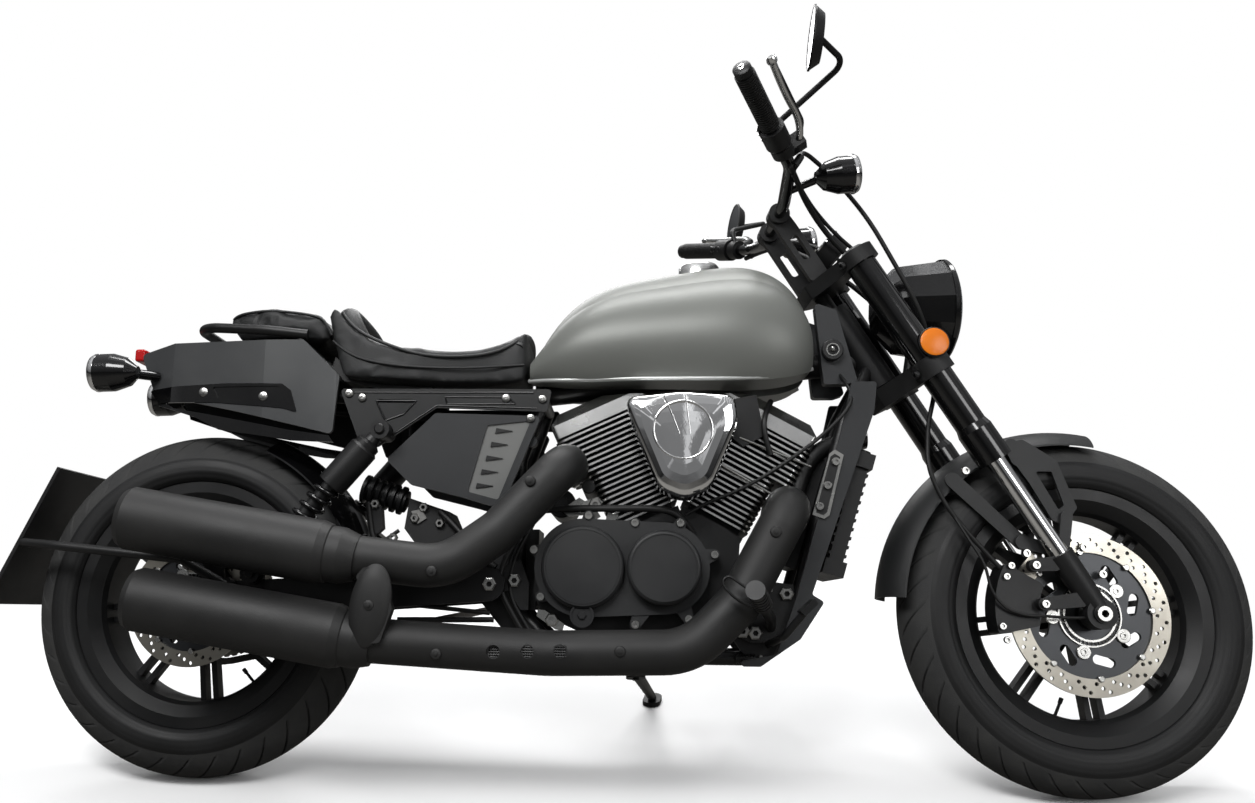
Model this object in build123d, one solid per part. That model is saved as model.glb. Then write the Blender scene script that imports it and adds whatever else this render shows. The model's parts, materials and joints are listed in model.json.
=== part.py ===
"""A cruiser motorcycle with a V-twin engine, parked on its side stand.

It is drawn upright, +X forward, +Y left, +Z up, from a ground point DATUM_TO_FRONT behind the
front axle, which the frame and the engine keep to. stood() then turns the steering, leans the
machine and sets its tyres on the ground z = 0, and the origin ends under the machine's middle.
"""
from build123d import *
import os
from math import acos, atan2, cos, degrees, hypot, radians, sin, sqrt, tan

# ---------------------------------------------------------------- driving dimensions, mm, degrees
WHEELBASE = 1530
DATUM_TO_FRONT = 1530     # frame and engine keep this datum; the swing arm takes up the wheelbase
RAKE = 31                 # steering axis, from the vertical
TRAIL = 118               # ground point of the steering axis, ahead of the front axle
LEAN = 16                 # to the left, on the side stand
STEER = 5                 # to the left, as parked

# wheels: rim half width over the flanges, tyre half width and the radius of its crown
FRONT_TYRE_R, FRONT_TYRE_HALF, FRONT_CROWN = 299, 60, 58
REAR_TYRE_R, REAR_TYRE_HALF, REAR_CROWN = 306, 75, 72
FRONT_RIM_HALF, REAR_RIM_HALF = 48, 62
BEAD_R, FLANGE_H, WELL = 203, 13, 31      # bead seat, flange above it, barrel below it
SPOKE_PAIRS = 8
SPOKE_W, SPOKE_DEPTH = 10, 24
SPOKE_GAP_RIM, SPOKE_GAP_HUB = 23, 20      # between the two bars of a pair
HUB_R, AXLE_R, AXLE_BORE_R, RUN_GAP = 36, 9, 5, 0.1
FRONT_DISC_R, FRONT_DISC_IN, FRONT_DISC_Y = 134, 104, -64
REAR_DISC_R, REAR_DISC_IN, REAR_DISC_Y = 111, 84, -76
DISC_T, DISC_GAP = 5, 5
SPROCKET_R, PINION_R, CHAIN_Y, CHAIN_W, CHAIN_H = 100, 36, 90, 14, 13
SPROCKET_TEETH, TOOTH_GAP_R = 40, 4.5

# fork, measured along the steering axis from the ground and ahead of the axis
TUBE_Y, TUBE_AHEAD = 93, 57
TUBE_R, TUBE_LIP_R, SLIDER_R = 26.5, 30, 16
TUBE_LOW, TUBE_LIP, TUBE_TOP = 612, 672, 1042
HOLDER_H, HOLDER_R, SLIDER_FOOT = 112, 22, 40   # axle holder's height, its radius, foot of the slider above the axle
FENDER_GAP, FENDER_HALF, FENDER_WALL = 23, 61, 3
LOW_CLAMP, TOP_CLAMP, CLAMP_T = 785, 1018, 26
HEAD_R, STEM_R = 30, 14
HEAD_LOW, HEAD_HIGH = 822, 985
BAR_AHEAD, BAR_UP, BAR_R = 0, 1182, 11
RISER_Y, RISER_T, RISER_W = 45, 12, 36
GRIP_IN, GRIP_OUT = (8, 190, 1209), (-50, 372, 1322)     # ahead, y, up of the left grip's ends
PERCH_BACK = 176          # from the bar's end to the middle of the lever's clamp
HOLDER_BOSS_R, HOSE_R, LEAD_R = 25, 4, 2.5
# ahead, y, up: from the lever's cylinder, inside the right tube, to the caliper
BRAKE_HOSE = ((30, -190, 1214), (62, -150, 1236), (98, -112, 1180), (106, -116, 1080), (96, -108, 920), (92, -84, 860),
              (84, -50, 812), (58, -44, 762), (10, -56, 722), (-40, -74, 662), (-53, -76, 600), (-49, -76, 540),
              (-34, -76, 452))
SENSOR_LEAD = ((-51, -76, 570), (-57, -88, 525), (-60, -97, 480), (-78, -97, 436), (-74, -97, 400), (-50, -97, 374),
               (-26, -97, 360), (2, -97, 340), (40, -97, 318))

# frame
MAIN_TUBE_R, TUBE_FRAME_R, RAIL_R = 22, 12, 11
CRADLE_Y, CRADLE_Z, UPRIGHT_Y, UPRIGHT_X = 78, 224, 62, 578
PIVOT_X, PIVOT_Z, PIVOT_R = 532, 342, 20
CROSS_X, CROSS_Z, CROSS_R = 420, 335, 24    # tube across the swing arm
HUGGER_GAP, HORN_R = 18, 28
CAP_X, CAP_R = 900, 36                      # fuel cap
ARM_Y, ARM_T = 103, 19                      # inner face of a swing arm leg, and its thickness
SHOCK_Y, SHOCK_R = 137, 24
SHOCK_TOP, SHOCK_LOW = (342, 604), (128, 356)   # x, z of the two eyes, the lower one from the rear axle's x

# engine: crank centre, the lean of each cylinder from the vertical
CRANK_X, CRANK_Z = 852, 342
REAR_BANK, FRONT_BANK = -24, 29
CASE_HALF = 80
FIN_PITCH, FIN_T = 9.5, 3.5
BARREL_LOW, HEAD_START, COVER_START, COVER_TOP = 126, 236, 316, 360
BARREL_HALF, HEAD_HALF, ENGINE_Y = 62, 92, 88
ENGINE_TOP = 678              # the covers are cut off level under the tank
CLUTCH_X, CLUTCH_Z, CLUTCH_R = 693, 371, 70
END_X, END_Z, END_R = 828, 371, 62
CLUTCH_AT, END_AT = (CLUTCH_X, CLUTCH_Z), (END_X, END_Z)
#               x    z    dome it belongs to
COVER_BOLTS = ((702, 458, CLUTCH_AT), (780, 446, END_AT), (856, 446, END_AT), (912, 394, END_AT),
               (868, 288, END_AT), (780, 278, END_AT), (610, 400, CLUTCH_AT), (622, 322, CLUTCH_AT))

PIPE_R, SILENCER_R, NECK_R, OUTLET_R = 36, 52, 46, 24

RADIATOR_W, RADIATOR_H, RADIATOR_ROWS = 204, 190, 12
SHIELD_HOLES = ((557, 234), (611, 235), (662, 236))     # x, z on the lower pipe's shield

PEG_BASE = (1006, 84, 272)                 # on the bracket; the left one, mirrored for the right
PEG_KNEE, PEG_ROOT, PEG_LENGTH = (1000, 140, 290), (979, 222, 312), 82

STAND_PIVOT = (780, 104, 190)
STAND_FOOT = (815, 416)                     # on the ground, from under the rear axle
STAND_AXIS = (-0.05, 0.24, 0.97)
STAND_R, STAND_EYE, STAND_PIN = 11, 12, 6     # leg, half height of its eye, pivot pin

BASE = (Align.CENTER, Align.CENTER, Align.MIN)

# ---------------------------------------------------------------- places worked out from them
rake = radians(RAKE)
FLANGE_R, BARREL_R = BEAD_R + FLANGE_H, BEAD_R - WELL
REAR_X = DATUM_TO_FRONT - WHEELBASE
STEER_X = DATUM_TO_FRONT + TRAIL
STEER_AXIS = Axis((STEER_X, 0, 0), (-sin(rake), 0, cos(rake)))
FORK = Plane(origin=(STEER_X, 0, 0), x_dir=(cos(rake), 0, sin(rake)), z_dir=(-sin(rake), 0, cos(rake)))
AXLE_AHEAD = FRONT_TYRE_R * sin(rake) - TRAIL * cos(rake)
AXLE_UP = FRONT_TYRE_R * cos(rake) + TRAIL * sin(rake)
REAR_HUB_LEFT, REAR_HUB_RIGHT = REAR_RIM_HALF + 4, -REAR_RIM_HALF - 5
FRONT_HUB_LEFT, FRONT_HUB_RIGHT = FRONT_RIM_HALF + 8, -FRONT_RIM_HALF - 8
FRONT_AXLE = Vector(DATUM_TO_FRONT, 0, FRONT_TYRE_R)
REAR_AXLE = Vector(REAR_X, 0, REAR_TYRE_R)
SIDE = Plane(origin=(0, 0, 0), x_dir=(1, 0, 0), z_dir=(0, -1, 0))
FORWARD, UP = FORK.x_dir, FORK.z_dir


# ---------------------------------------------------------------- shared shapes
def fork(ahead, y, up):
    """A point given in the fork's own frame."""
    return Vector(STEER_X + ahead * cos(rake) - up * sin(rake), y, ahead * sin(rake) + up * cos(rake))


def rod(start, end, radius, end_radius=None):
    """A round bar, or a cone, between two points."""
    start, end = Vector(start), Vector(end)
    length = (end - start).length
    if end_radius is None:
        bar = Cylinder(radius, length, align=BASE)
    else:
        bar = Cone(radius, end_radius, length, align=BASE)
    return Plane(origin=start, z_dir=end - start) * bar


def tube(points, bends, radius):
    """A bent bar through the points, with one bend radius for each inner point."""
    path = FilletPolyline(*points, radius=bends)
    return sweep(Plane(origin=path @ 0, z_dir=path % 0) * Circle(radius), path=path)


def outline(points, corner=0):
    """A closed face from (x, z) points, with its corners rounded."""
    face = make_face(Polyline(*points, close=True))
    return fillet(face.vertices(), corner) if corner else face


def slab(face, y_low, y_high):
    """A side-view face made solid between two y values."""
    placed = SIDE.location * face
    return extrude(Pos(0, y_high, 0) * placed, y_high - y_low, dir=(0, -1, 0))


def plan(points, z_low, z_high, corner=0):
    """A top-view outline of (x, y) points made solid between two heights."""
    return extrude(Pos(0, 0, z_low) * outline(points, corner), z_high - z_low, dir=(0, 0, 1))


def mirrored(points):
    """The right half of a plan, as (x, y) with y below 0, closed with its mirror image."""
    return points + [(x, -y) for x, y in reversed(points)]


def strap(a, radius_a, b, radius_b):
    """The face around two circles and their outer tangents."""
    (ax, az), (bx, bz) = a, b
    heading = atan2(bz - az, bx - ax)
    spread = acos((radius_a - radius_b) / hypot(bx - ax, bz - az))
    up, down = heading + spread, heading - spread
    a_up = (ax + radius_a * cos(up), az + radius_a * sin(up))
    a_down = (ax + radius_a * cos(down), az + radius_a * sin(down))
    b_up = (bx + radius_b * cos(up), bz + radius_b * sin(up))
    b_down = (bx + radius_b * cos(down), bz + radius_b * sin(down))
    a_far = (ax - radius_a * cos(heading), az - radius_a * sin(heading))
    b_far = (bx + radius_b * cos(heading), bz + radius_b * sin(heading))
    edges = [Line(a_up, b_up), ThreePointArc(b_up, b_far, b_down), Line(b_down, a_down)]
    return make_face(edges + [ThreePointArc(a_down, a_far, a_up)])


def round_y(x, z, radius, y_low, y_high):
    """A cylinder across the machine."""
    return slab(Pos(x, z) * Circle(radius), y_low, y_high)


def turned(points):
    """(radius, height) points turned about the Z axis."""
    return revolve(Plane.XZ * outline(points), axis=Axis.Z)


def wheel_turned(face, centre):
    """A (y, radius) face turned about a wheel's axle."""
    return Pos(*centre) * revolve(Plane.YZ * face, axis=Axis.Y)


def sector(centre, inner, outer, start, end):
    """A piece of a ring in side view, between two angles in degrees from +X."""
    def at(radius, angle):
        return (centre.X + radius * cos(radians(angle)), centre.Z + radius * sin(radians(angle)))
    middle = (start + end) / 2
    edges = [Line(at(inner, start), at(outer, start))]
    edges += [ThreePointArc(at(outer, start), at(outer, middle), at(outer, end))]
    edges += [Line(at(outer, end), at(inner, end))]
    edges += [ThreePointArc(at(inner, end), at(inner, middle), at(inner, start))]
    return make_face(edges)


def both(shape):
    """A shape and its mirror image on the other side."""
    return Compound(children=[*shape.solids(), *shape.mirror(Plane.XZ).solids()])


def joined(shapes):
    """All shapes fused into one."""
    first, *rest = shapes
    return first.fuse(*rest)


# ---------------------------------------------------------------- wheels
def rim(centre, half, hub_right, hub_left):
    """A cast wheel: barrel, hub and paired spokes. The hub ends are y values."""
    section = [(-half, FLANGE_R), (-half + 7, FLANGE_R), (-half + 8, BEAD_R), (-half + 26, BEAD_R - 3)]
    section += [(-half + 32, BARREL_R + 12), (half - 32, BARREL_R + 12), (half - 26, BEAD_R - 3)]
    section += [(half - 8, BEAD_R), (half - 7, FLANGE_R), (half, FLANGE_R), (half, BEAD_R - 6)]
    section += [(half - 15, BARREL_R + 6), (half - 24, BARREL_R), (-half + 24, BARREL_R)]
    section += [(-half + 15, BARREL_R + 6), (-half, BEAD_R - 6)]
    barrel = wheel_turned(outline(section), centre)
    hub = round_y(centre.X, centre.Z, HUB_R, hub_right, hub_left)
    web = round_y(centre.X, centre.Z, HUB_R + 12, -SPOKE_DEPTH / 2, SPOKE_DEPTH / 2)
    spokes = []
    reach = BARREL_R + 4
    for pair in range(SPOKE_PAIRS):
        angle = 360 / SPOKE_PAIRS * (pair + 0.15)
        for side in (-1, 1):
            bar = [(HUB_R - 4, side * (SPOKE_GAP_HUB - SPOKE_W) / 2), (HUB_R - 4, side * (SPOKE_GAP_HUB + SPOKE_W) / 2)]
            bar += [(reach, side * (SPOKE_GAP_RIM + SPOKE_W) / 2), (reach, side * (SPOKE_GAP_RIM - SPOKE_W) / 2)]
            flat = Pos(centre.X, centre.Z) * Rot(0, 0, angle) * outline(bar)
            spokes.append(slab(flat, -SPOKE_DEPTH / 2, SPOKE_DEPTH / 2))
    body = joined([barrel, hub, web, *spokes])
    return body - round_y(centre.X, centre.Z, AXLE_R + RUN_GAP, hub_right, hub_left)


def tyre(centre, radius, half, crown, rim_half):
    """A tyre whose crown is an arc, seated on the beads and lying against the flanges."""
    shoulder = radians(50)
    tread_y, tread_r = crown * sin(shoulder), radius - crown + crown * cos(shoulder)
    wall_r, lip_r = (tread_r + FLANGE_R) / 2 + 6, FLANGE_R + 1
    bead_y, lip_y = rim_half - 8.5, rim_half + 1
    edges = [ThreePointArc((-tread_y, tread_r), (0, radius), (tread_y, tread_r))]
    edges += [ThreePointArc((tread_y, tread_r), (half, wall_r), (lip_y, lip_r))]
    edges += [Polyline((lip_y, lip_r), (bead_y, lip_r), (bead_y, BEAD_R + 0.5))]
    edges += [Line((bead_y, BEAD_R + 0.5), (-bead_y, BEAD_R + 0.5))]
    edges += [Polyline((-bead_y, BEAD_R + 0.5), (-bead_y, lip_r), (-lip_y, lip_r))]
    edges += [ThreePointArc((-lip_y, lip_r), (-half, wall_r), (-tread_y, tread_r))]
    return wheel_turned(make_face(edges), centre)


def brake_disc(centre, outer, inner, disc_y, hub_y, slots):
    """A floating disc: outer braking ring, slotted carrier and the flange on the hub."""
    ring = round_y(centre.X, centre.Z, outer, disc_y - DISC_T / 2, disc_y + DISC_T / 2)
    ring -= round_y(centre.X, centre.Z, inner, disc_y - DISC_T / 2, disc_y + DISC_T / 2)
    carrier = round_y(centre.X, centre.Z, inner + 3, disc_y + DISC_T / 2 - 1, hub_y)
    for step in range(slots):
        angle = 360 / slots * step
        slot = Pos(centre.X, centre.Z) * Rot(0, 0, angle) * strap((inner * 0.74, -8), 8, (inner * 0.74, 12), 8)
        carrier -= slab(slot, disc_y, hub_y)
    bore = round_y(centre.X, centre.Z, HUB_R - 12, disc_y, hub_y)
    return ring + carrier - bore


def sprocket():
    """The rear sprocket, bolted to the left end of the hub."""
    gaps = PolarLocations(SPROCKET_R + TOOTH_GAP_R * 0.3, SPROCKET_TEETH) * Circle(TOOTH_GAP_R)
    toothed = Circle(SPROCKET_R) - gaps
    wheel = slab(Pos(REAR_AXLE.X, REAR_AXLE.Z) * toothed, CHAIN_Y - 3, CHAIN_Y + 3)
    wheel += round_y(REAR_AXLE.X, REAR_AXLE.Z, HUB_R, REAR_HUB_LEFT, CHAIN_Y - 3)
    for step in range(5):
        angle = radians(360 / 5 * step)
        x, z = REAR_AXLE.X + 66 * cos(angle), REAR_AXLE.Z + 66 * sin(angle)
        wheel -= round_y(x, z, 17, CHAIN_Y - 3, CHAIN_Y + 3)
    return wheel - round_y(REAR_AXLE.X, REAR_AXLE.Z, AXLE_R + RUN_GAP, REAR_HUB_LEFT, CHAIN_Y + 3)




# ---------------------------------------------------------------- frame
def main_frame():
    """Steering head, backbone, two downtube and cradle loops, seat rails and pivot plates."""
    head = FORK.location * Pos(0, 0, HEAD_LOW) * Cylinder(HEAD_R, HEAD_HIGH - HEAD_LOW, align=BASE)
    backbone = rod(fork(-8, 0, 880), (612, 0, 692), MAIN_TUBE_R)
    rear_cross = rod((616, -UPRIGHT_Y, 668), (616, UPRIGHT_Y, 668), TUBE_FRAME_R)
    parts = [head, backbone, rear_cross]
    for side in (-1, 1):
        loop = [fork(-6, side * 14, 862), (1148, side * 60, 640), (1047, side * 70, 305)]
        loop += [(1000, side * CRADLE_Y, CRADLE_Z), (655, side * CRADLE_Y, CRADLE_Z)]
        loop += [(UPRIGHT_X, side * UPRIGHT_Y, 300), (UPRIGHT_X, side * UPRIGHT_Y, 560), (616, side * UPRIGHT_Y, 668)]
        parts.append(tube(loop, [90, 90, 50, 60, 45, 60], TUBE_FRAME_R))
        rail = [(616, side * UPRIGHT_Y, 668), (560, side * 80, 668), (300, side * 84, 668), (-20, side * 62, 700)]
        parts.append(tube(rail, [70, 120], RAIL_R))
        low, high = sorted((side * (UPRIGHT_Y - 6), side * (UPRIGHT_Y + 2)))
        plate = slab(strap((UPRIGHT_X - 6, 430), 16, (PIVOT_X, PIVOT_Z), PIVOT_R + 14), low, high)
        plate += slab(strap((UPRIGHT_X - 2, 262), 16, (PIVOT_X, PIVOT_Z), PIVOT_R + 14), low, high)
        parts.append(plate - round_y(PIVOT_X, PIVOT_Z, PIVOT_R + 0.2, low, high))
        bracket = outline([(944, 286), (944, 254), (966, 222), (1006, 222), (1022, 262), (1012, 290)], 8)
        parts.append(slab(bracket, *sorted((side * 90, side * (CRADLE_Y - 2)))))
        base, knee, root = [(x, side * y, z) for x, y, z in (PEG_BASE, PEG_KNEE, PEG_ROOT)]
        parts.append(tube([base, knee, root], [30], 9))
        parts += [round_y(x, z, 12, *sorted((side * 88, side * 102))) for x, z in ((958, 269), (979, 266))]
    pivot, pin = Vector(STAND_PIVOT), Vector(STAND_AXIS).normalized()
    parts.append(rod((STAND_PIVOT[0], CRADLE_Y, CRADLE_Z), pivot + pin * (STAND_EYE + 12), 9))
    parts.append(rod(pivot + pin * (STAND_EYE + 0.5), pivot + pin * (STAND_EYE + 8), STAND_R + 7))
    parts.append(rod(pivot - pin * (STAND_EYE + 4), pivot + pin * (STAND_EYE + 4), STAND_PIN))
    parts.append(rod((300, -84, 668), (300, 84, 668), RAIL_R))
    parts += [crossbar(305), crossbar(600)]
    for side in (-1, 1):
        mount = rod((SHOCK_TOP[0], side * 78, 668), (SHOCK_TOP[0], side * 88, SHOCK_TOP[1]), 12)
        pin = rod((SHOCK_TOP[0], side * 80, SHOCK_TOP[1]), (SHOCK_TOP[0], side * (SHOCK_Y - 13), SHOCK_TOP[1]), 14)
        parts += [mount, pin]
    bore = FORK.location * Pos(0, 0, HEAD_LOW) * Cylinder(STEM_R + RUN_GAP, HEAD_HIGH - HEAD_LOW, align=BASE)
    return joined(parts) - bore


def frame_plates():
    """The cast triangular plates under the seat, one on each side, with their recess."""
    edge = [(259, 683), (636, 680), (628, 640), (434, 648), (330, 578), (296, 590)]
    plate = slab(outline(edge, 6), -110, -104)
    recess = slab(outline([(322, 664), (400, 662), (376, 634), (340, 622)], 4), -110, -108)
    plate = plate - recess - round_y(*SHOCK_TOP, 16, -110, -104)
    lugs = [round_y(x, 668, 9, -104, -95) for x in (300, 430)]
    return both(joined([plate, *lugs]))


def swing_arm():
    """Two tapered legs on the pivot tube, a cross tube ahead of the tyre, and the rear axle."""
    outer = ARM_Y + ARM_T
    pivot = rod((PIVOT_X, -outer, PIVOT_Z), (PIVOT_X, outer, PIVOT_Z), PIVOT_R)
    cross = round_y(CROSS_X, CROSS_Z, CROSS_R, -outer + 2, outer - 2)
    axle = round_y(REAR_X, REAR_AXLE.Z, AXLE_R, -outer - 12, outer + 12)
    low_eye = (REAR_X + SHOCK_LOW[0], SHOCK_LOW[1])
    parts = [pivot, cross, axle]
    for side in (-1, 1):
        low, high = sorted((side * ARM_Y, side * outer))
        parts.append(slab(strap((PIVOT_X, PIVOT_Z), 28, (REAR_X, REAR_AXLE.Z), 32), low, high))
        low, high = sorted((side * outer, side * (outer + 9)))
        parts.append(round_y(REAR_X, REAR_AXLE.Z, 15, low, high))
        low, high = sorted((side * (ARM_Y + 3), side * (SHOCK_Y - 13)))
        parts.append(slab(strap((low_eye[0], 330), 14, low_eye, 13), low, high))
    spacer_left = round_y(REAR_X, REAR_AXLE.Z, 16, CHAIN_Y + 4, ARM_Y)
    spacer_right = round_y(REAR_X, REAR_AXLE.Z, 16, -ARM_Y, REAR_DISC_Y - 4)
    bore = round_y(REAR_X, REAR_AXLE.Z, AXLE_BORE_R, -outer - 12, outer + 12)
    return joined([*parts, spacer_left, spacer_right]) - bore


def shocks():
    """Each shock: eyes, damper, black dust cover above and the coils of the spring below."""
    (top_x, top_z), (low_x, low_z) = SHOCK_TOP, (REAR_X + SHOCK_LOW[0], SHOCK_LOW[1])
    length = hypot(top_x - low_x, top_z - low_z)
    coils, coil_low = 8, 46
    coil_high = length - 128
    pitch = (coil_high - coil_low) / coils
    half = [(0, 10), (10, 10), (10, 30), (SHOCK_R, 34), (SHOCK_R, coil_low)]
    for turn in range(coils):
        z = coil_low + turn * pitch
        half += [(SHOCK_R, z + pitch * 0.5), (SHOCK_R - 7, z + pitch * 0.6), (SHOCK_R - 7, z + pitch * 0.9)]
        half += [(SHOCK_R, z + pitch)]
    half += [(SHOCK_R + 2, coil_high + 1), (SHOCK_R + 2, length - 40), (16, length - 28), (10, length - 10)]
    body = turned(half + [(0, length - 10)])
    body = Plane(origin=(low_x, -SHOCK_Y, low_z), z_dir=(top_x - low_x, 0, top_z - low_z)) * body
    eyes = [round_y(x, z, 17, -SHOCK_Y - 12, -SHOCK_Y + 12) for x, z in ((top_x, top_z), (low_x, low_z))]
    return both(joined([body, *eyes]))


# ---------------------------------------------------------------- engine
def bank(angle):
    """A cylinder's own frame: its axis up, across the machine and along it."""
    lean = radians(angle)
    return Plane(origin=(CRANK_X, 0, CRANK_Z), x_dir=(cos(lean), 0, -sin(lean)), z_dir=(sin(lean), 0, cos(lean)))


def cylinders():
    """Barrel and head of each cylinder, with cooling fins; the barrels stand on the crankcase."""
    made = []
    for angle in (REAR_BANK, FRONT_BANK):
        core = Pos(0, 0, BARREL_LOW) * Box(BARREL_HALF * 1.55, ENGINE_Y * 1.5, COVER_START - BARREL_LOW, align=BASE)
        parts = [core]
        z = BARREL_LOW + FIN_PITCH
        while z < COVER_START - FIN_T:
            half = BARREL_HALF if z < HEAD_START else HEAD_HALF
            fin = RectangleRounded(2 * half, 2 * ENGINE_Y, 18)
            parts.append(extrude(Pos(0, 0, z) * fin, FIN_T))
            z += FIN_PITCH
        made.append(bank(angle).location * joined(parts))
    return made[0], made[1]


def head_covers():
    """The bright covers on the two heads, chamfered along the ridge."""
    made = []
    for angle in (REAR_BANK, FRONT_BANK):
        height = COVER_TOP - COVER_START
        block = Pos(0, 0, COVER_START) * Box(2 * HEAD_HALF - 6, 2 * ENGINE_Y - 16, height, align=BASE)
        block = chamfer(block.edges().group_by(Axis.Z)[-1], 20)
        block = bank(angle).location * fillet(block.edges().filter_by(Axis.Z), 8)
        made.append(block - Pos(CRANK_X, 0, ENGINE_TOP) * Box(900, 400, 100, align=BASE))
    return made[0], made[1]


def crankcase():
    """The block that carries cranks, gears and sump, up to the barrels' feet."""
    edge = [(606, 330), (622, 292), (700, 258), (905, 258), (948, 300), (958, 420), (905, 470), (868, 452)]
    edge += [(800, 446), (742, 478), (668, 446), (612, 410)]
    case = slab(outline(edge, 12), -ENGINE_Y, CASE_HALF)
    for angle in (REAR_BANK, FRONT_BANK):
        seat = Pos(0, 0, 70) * Box(2 * BARREL_HALF - 8, 2 * ENGINE_Y - 24, BARREL_LOW - 70, align=BASE)
        case = case + bank(angle).location * seat
    for angle in (REAR_BANK, FRONT_BANK):
        space = Pos(0, 0, BARREL_LOW) * Box(400, 400, 400, align=BASE)
        case = case - bank(angle).location * space
    return case


def engine_covers():
    """Right cover with the clutch and crank domes, left alternator and sprocket covers."""
    right = slab(strap((CLUTCH_X, CLUTCH_Z), CLUTCH_R + 12, (END_X, END_Z), END_R + 14), -128, -ENGINE_Y)
    clutch = round_y(CLUTCH_X, CLUTCH_Z, CLUTCH_R, -146, -128)
    crank = round_y(END_X, END_Z, END_R, -154, -128)
    clutch = fillet(clutch.edges().group_by(Axis.Y)[0], 10)
    crank = fillet(crank.edges().group_by(Axis.Y)[0], 8)
    sight = round_y(692, 292, 17, -140, -126)
    ears = [slab(strap((x, z), 9, centre, 30), -126, -ENGINE_Y) for x, z, centre in COVER_BOLTS]
    right = joined([right, clutch, crank, sight, *ears])
    left = round_y(CRANK_X - 10, CRANK_Z + 12, 82, CASE_HALF, 112) + round_y(CRANK_X - 10, CRANK_Z + 12, 66, 112, 132)
    guard = slab(strap((648, 370), 52, (738, 352), 40), CHAIN_Y + 12, 122)
    guard += slab(strap((730, 352), 30, (752, 352), 30), CASE_HALF, CHAIN_Y + 14)
    return right, left + guard


def air_cleaner():
    """A domed shield on the right of the V, on its neck to the intake."""
    edge = [(765, 652), (858, 662), (946, 655), (952, 610), (905, 498), (862, 480), (818, 498), (772, 612)]
    shell = fillet(slab(outline(edge, 16), -196, -128).edges().group_by(Axis.Y)[0], 22)
    neck = slab(Pos(858, 590) * Circle(34), -128, -ENGINE_Y)
    return shell + neck


def exhausts():
    """Two heat-shielded pipes, each running into its own silencer on the right."""
    upper_path = [(664, -ENGINE_Y, 545), (664, -154, 545), (556, -178, 428), (470, -190, 366), (300, -212, 384)]
    lower_path = [(1036, -ENGINE_Y, 474), (1036, -154, 474), (948, -168, 316), (868, -176, 236), (640, -188, 232)]
    lower_path += [(330, -208, 250)]
    upper = tube(upper_path, [42, 90, 110], PIPE_R)
    lower = tube(lower_path, [42, 90, 110, 300], PIPE_R)
    made = []
    for pipe, start, end in ((upper, (300, -212, 384), (-62, -226, 444)), (lower, (330, -208, 250), (-42, -222, 312))):
        start, end = Vector(start), Vector(end)
        length = (end - start).length + 30
        half = [(0, 0), (PIPE_R + 2, 0), (NECK_R, 26), (NECK_R, 46), (NECK_R + 2, 48), (SILENCER_R, 62)]
        half += [(SILENCER_R, length - 12), (SILENCER_R - 5, length - 2), (OUTLET_R + 4, length)]
        half += [(OUTLET_R, length), (OUTLET_R, length - 70), (0, length - 70)]
        way = (end - start).normalized()
        can = Plane(origin=start - way * 30, z_dir=way) * turned(half)
        made.append(pipe + can)
    upper, lower = made
    for x, z in SHIELD_HOLES:
        lower -= round_y(x, z, 11, -240, -217)
    link = [(338, 350), (350, 364), (372, 362), (398, 300), (380, 246), (350, 244), (356, 300)]
    return [joined([upper, lower, slab(outline(link, 7), -250, -228)])]


def radiator():
    """The core between its two tanks, just ahead of the downtubes."""
    core = Box(24, RADIATOR_W - 14, RADIATOR_H)
    for row in range(RADIATOR_ROWS):
        z = (row + 0.5) * RADIATOR_H / RADIATOR_ROWS - RADIATOR_H / 2
        core += Pos(0, 0, z) * Box(30, RADIATOR_W - 14, 5)
    tanks = [Pos(0, 0, z) * Box(36, RADIATOR_W, 26) for z in (-RADIATOR_H / 2, RADIATOR_H / 2)]
    cap = Pos(0, -60, RADIATOR_H / 2 + 12) * Cylinder(15, 10, align=BASE)
    ears = [Pos(-24, side * 65, z) * Box(16, 18, 12) for side in (-1, 1) for z in (-RADIATOR_H / 2, RADIATOR_H / 2)]
    lean = degrees(atan2(1148 - 1047, 640 - 305))
    body = Pos(1140, 0, 466) * Rot(0, lean, 0) * joined([core, *tanks, *ears, cap])
    for side in (-1, 1):
        body -= rod((1148, side * 60, 640), (1047, side * 70, 305), TUBE_FRAME_R)
    return body


def radiator_cowl():
    """Side cheeks and belly piece around the radiator and the downtubes."""
    cheek = [(1150, 690), (1192, 690), (1186, 640), (1072, 330), (1092, 318), (1051, 257), (985, 212)]
    cheek += [(905, 212), (1012, 232), (1048, 330), (1128, 600)]
    side = slab(outline(cheek, 5), -114, -108)
    lip = rod((1046, -112, 262), (1046, 112, 262), 7)
    return joined([side, side.mirror(Plane.XZ), lip])


# ---------------------------------------------------------------- tank, seats and tail
def tank_section(x, low, high, half, shoulder):
    """A lofting face across the tank: flat underside, full sides, arched top."""
    place = Plane(origin=(x, 0, 0), x_dir=(0, 1, 0), z_dir=(1, 0, 0))
    wide_z = low + (high - low) * 0.45
    edges = [Line((-half * 0.86, low), (half * 0.86, low))]
    edges += [ThreePointArc((half * 0.86, low), (half, wide_z), (shoulder, high - (high - low) * 0.2))]
    edges += [ThreePointArc((shoulder, high - (high - low) * 0.2), (0, high), (-shoulder, high - (high - low) * 0.2))]
    edges += [ThreePointArc((-shoulder, high - (high - low) * 0.2), (-half, wide_z), (-half * 0.86, low))]
    return place * make_face(edges)


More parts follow.
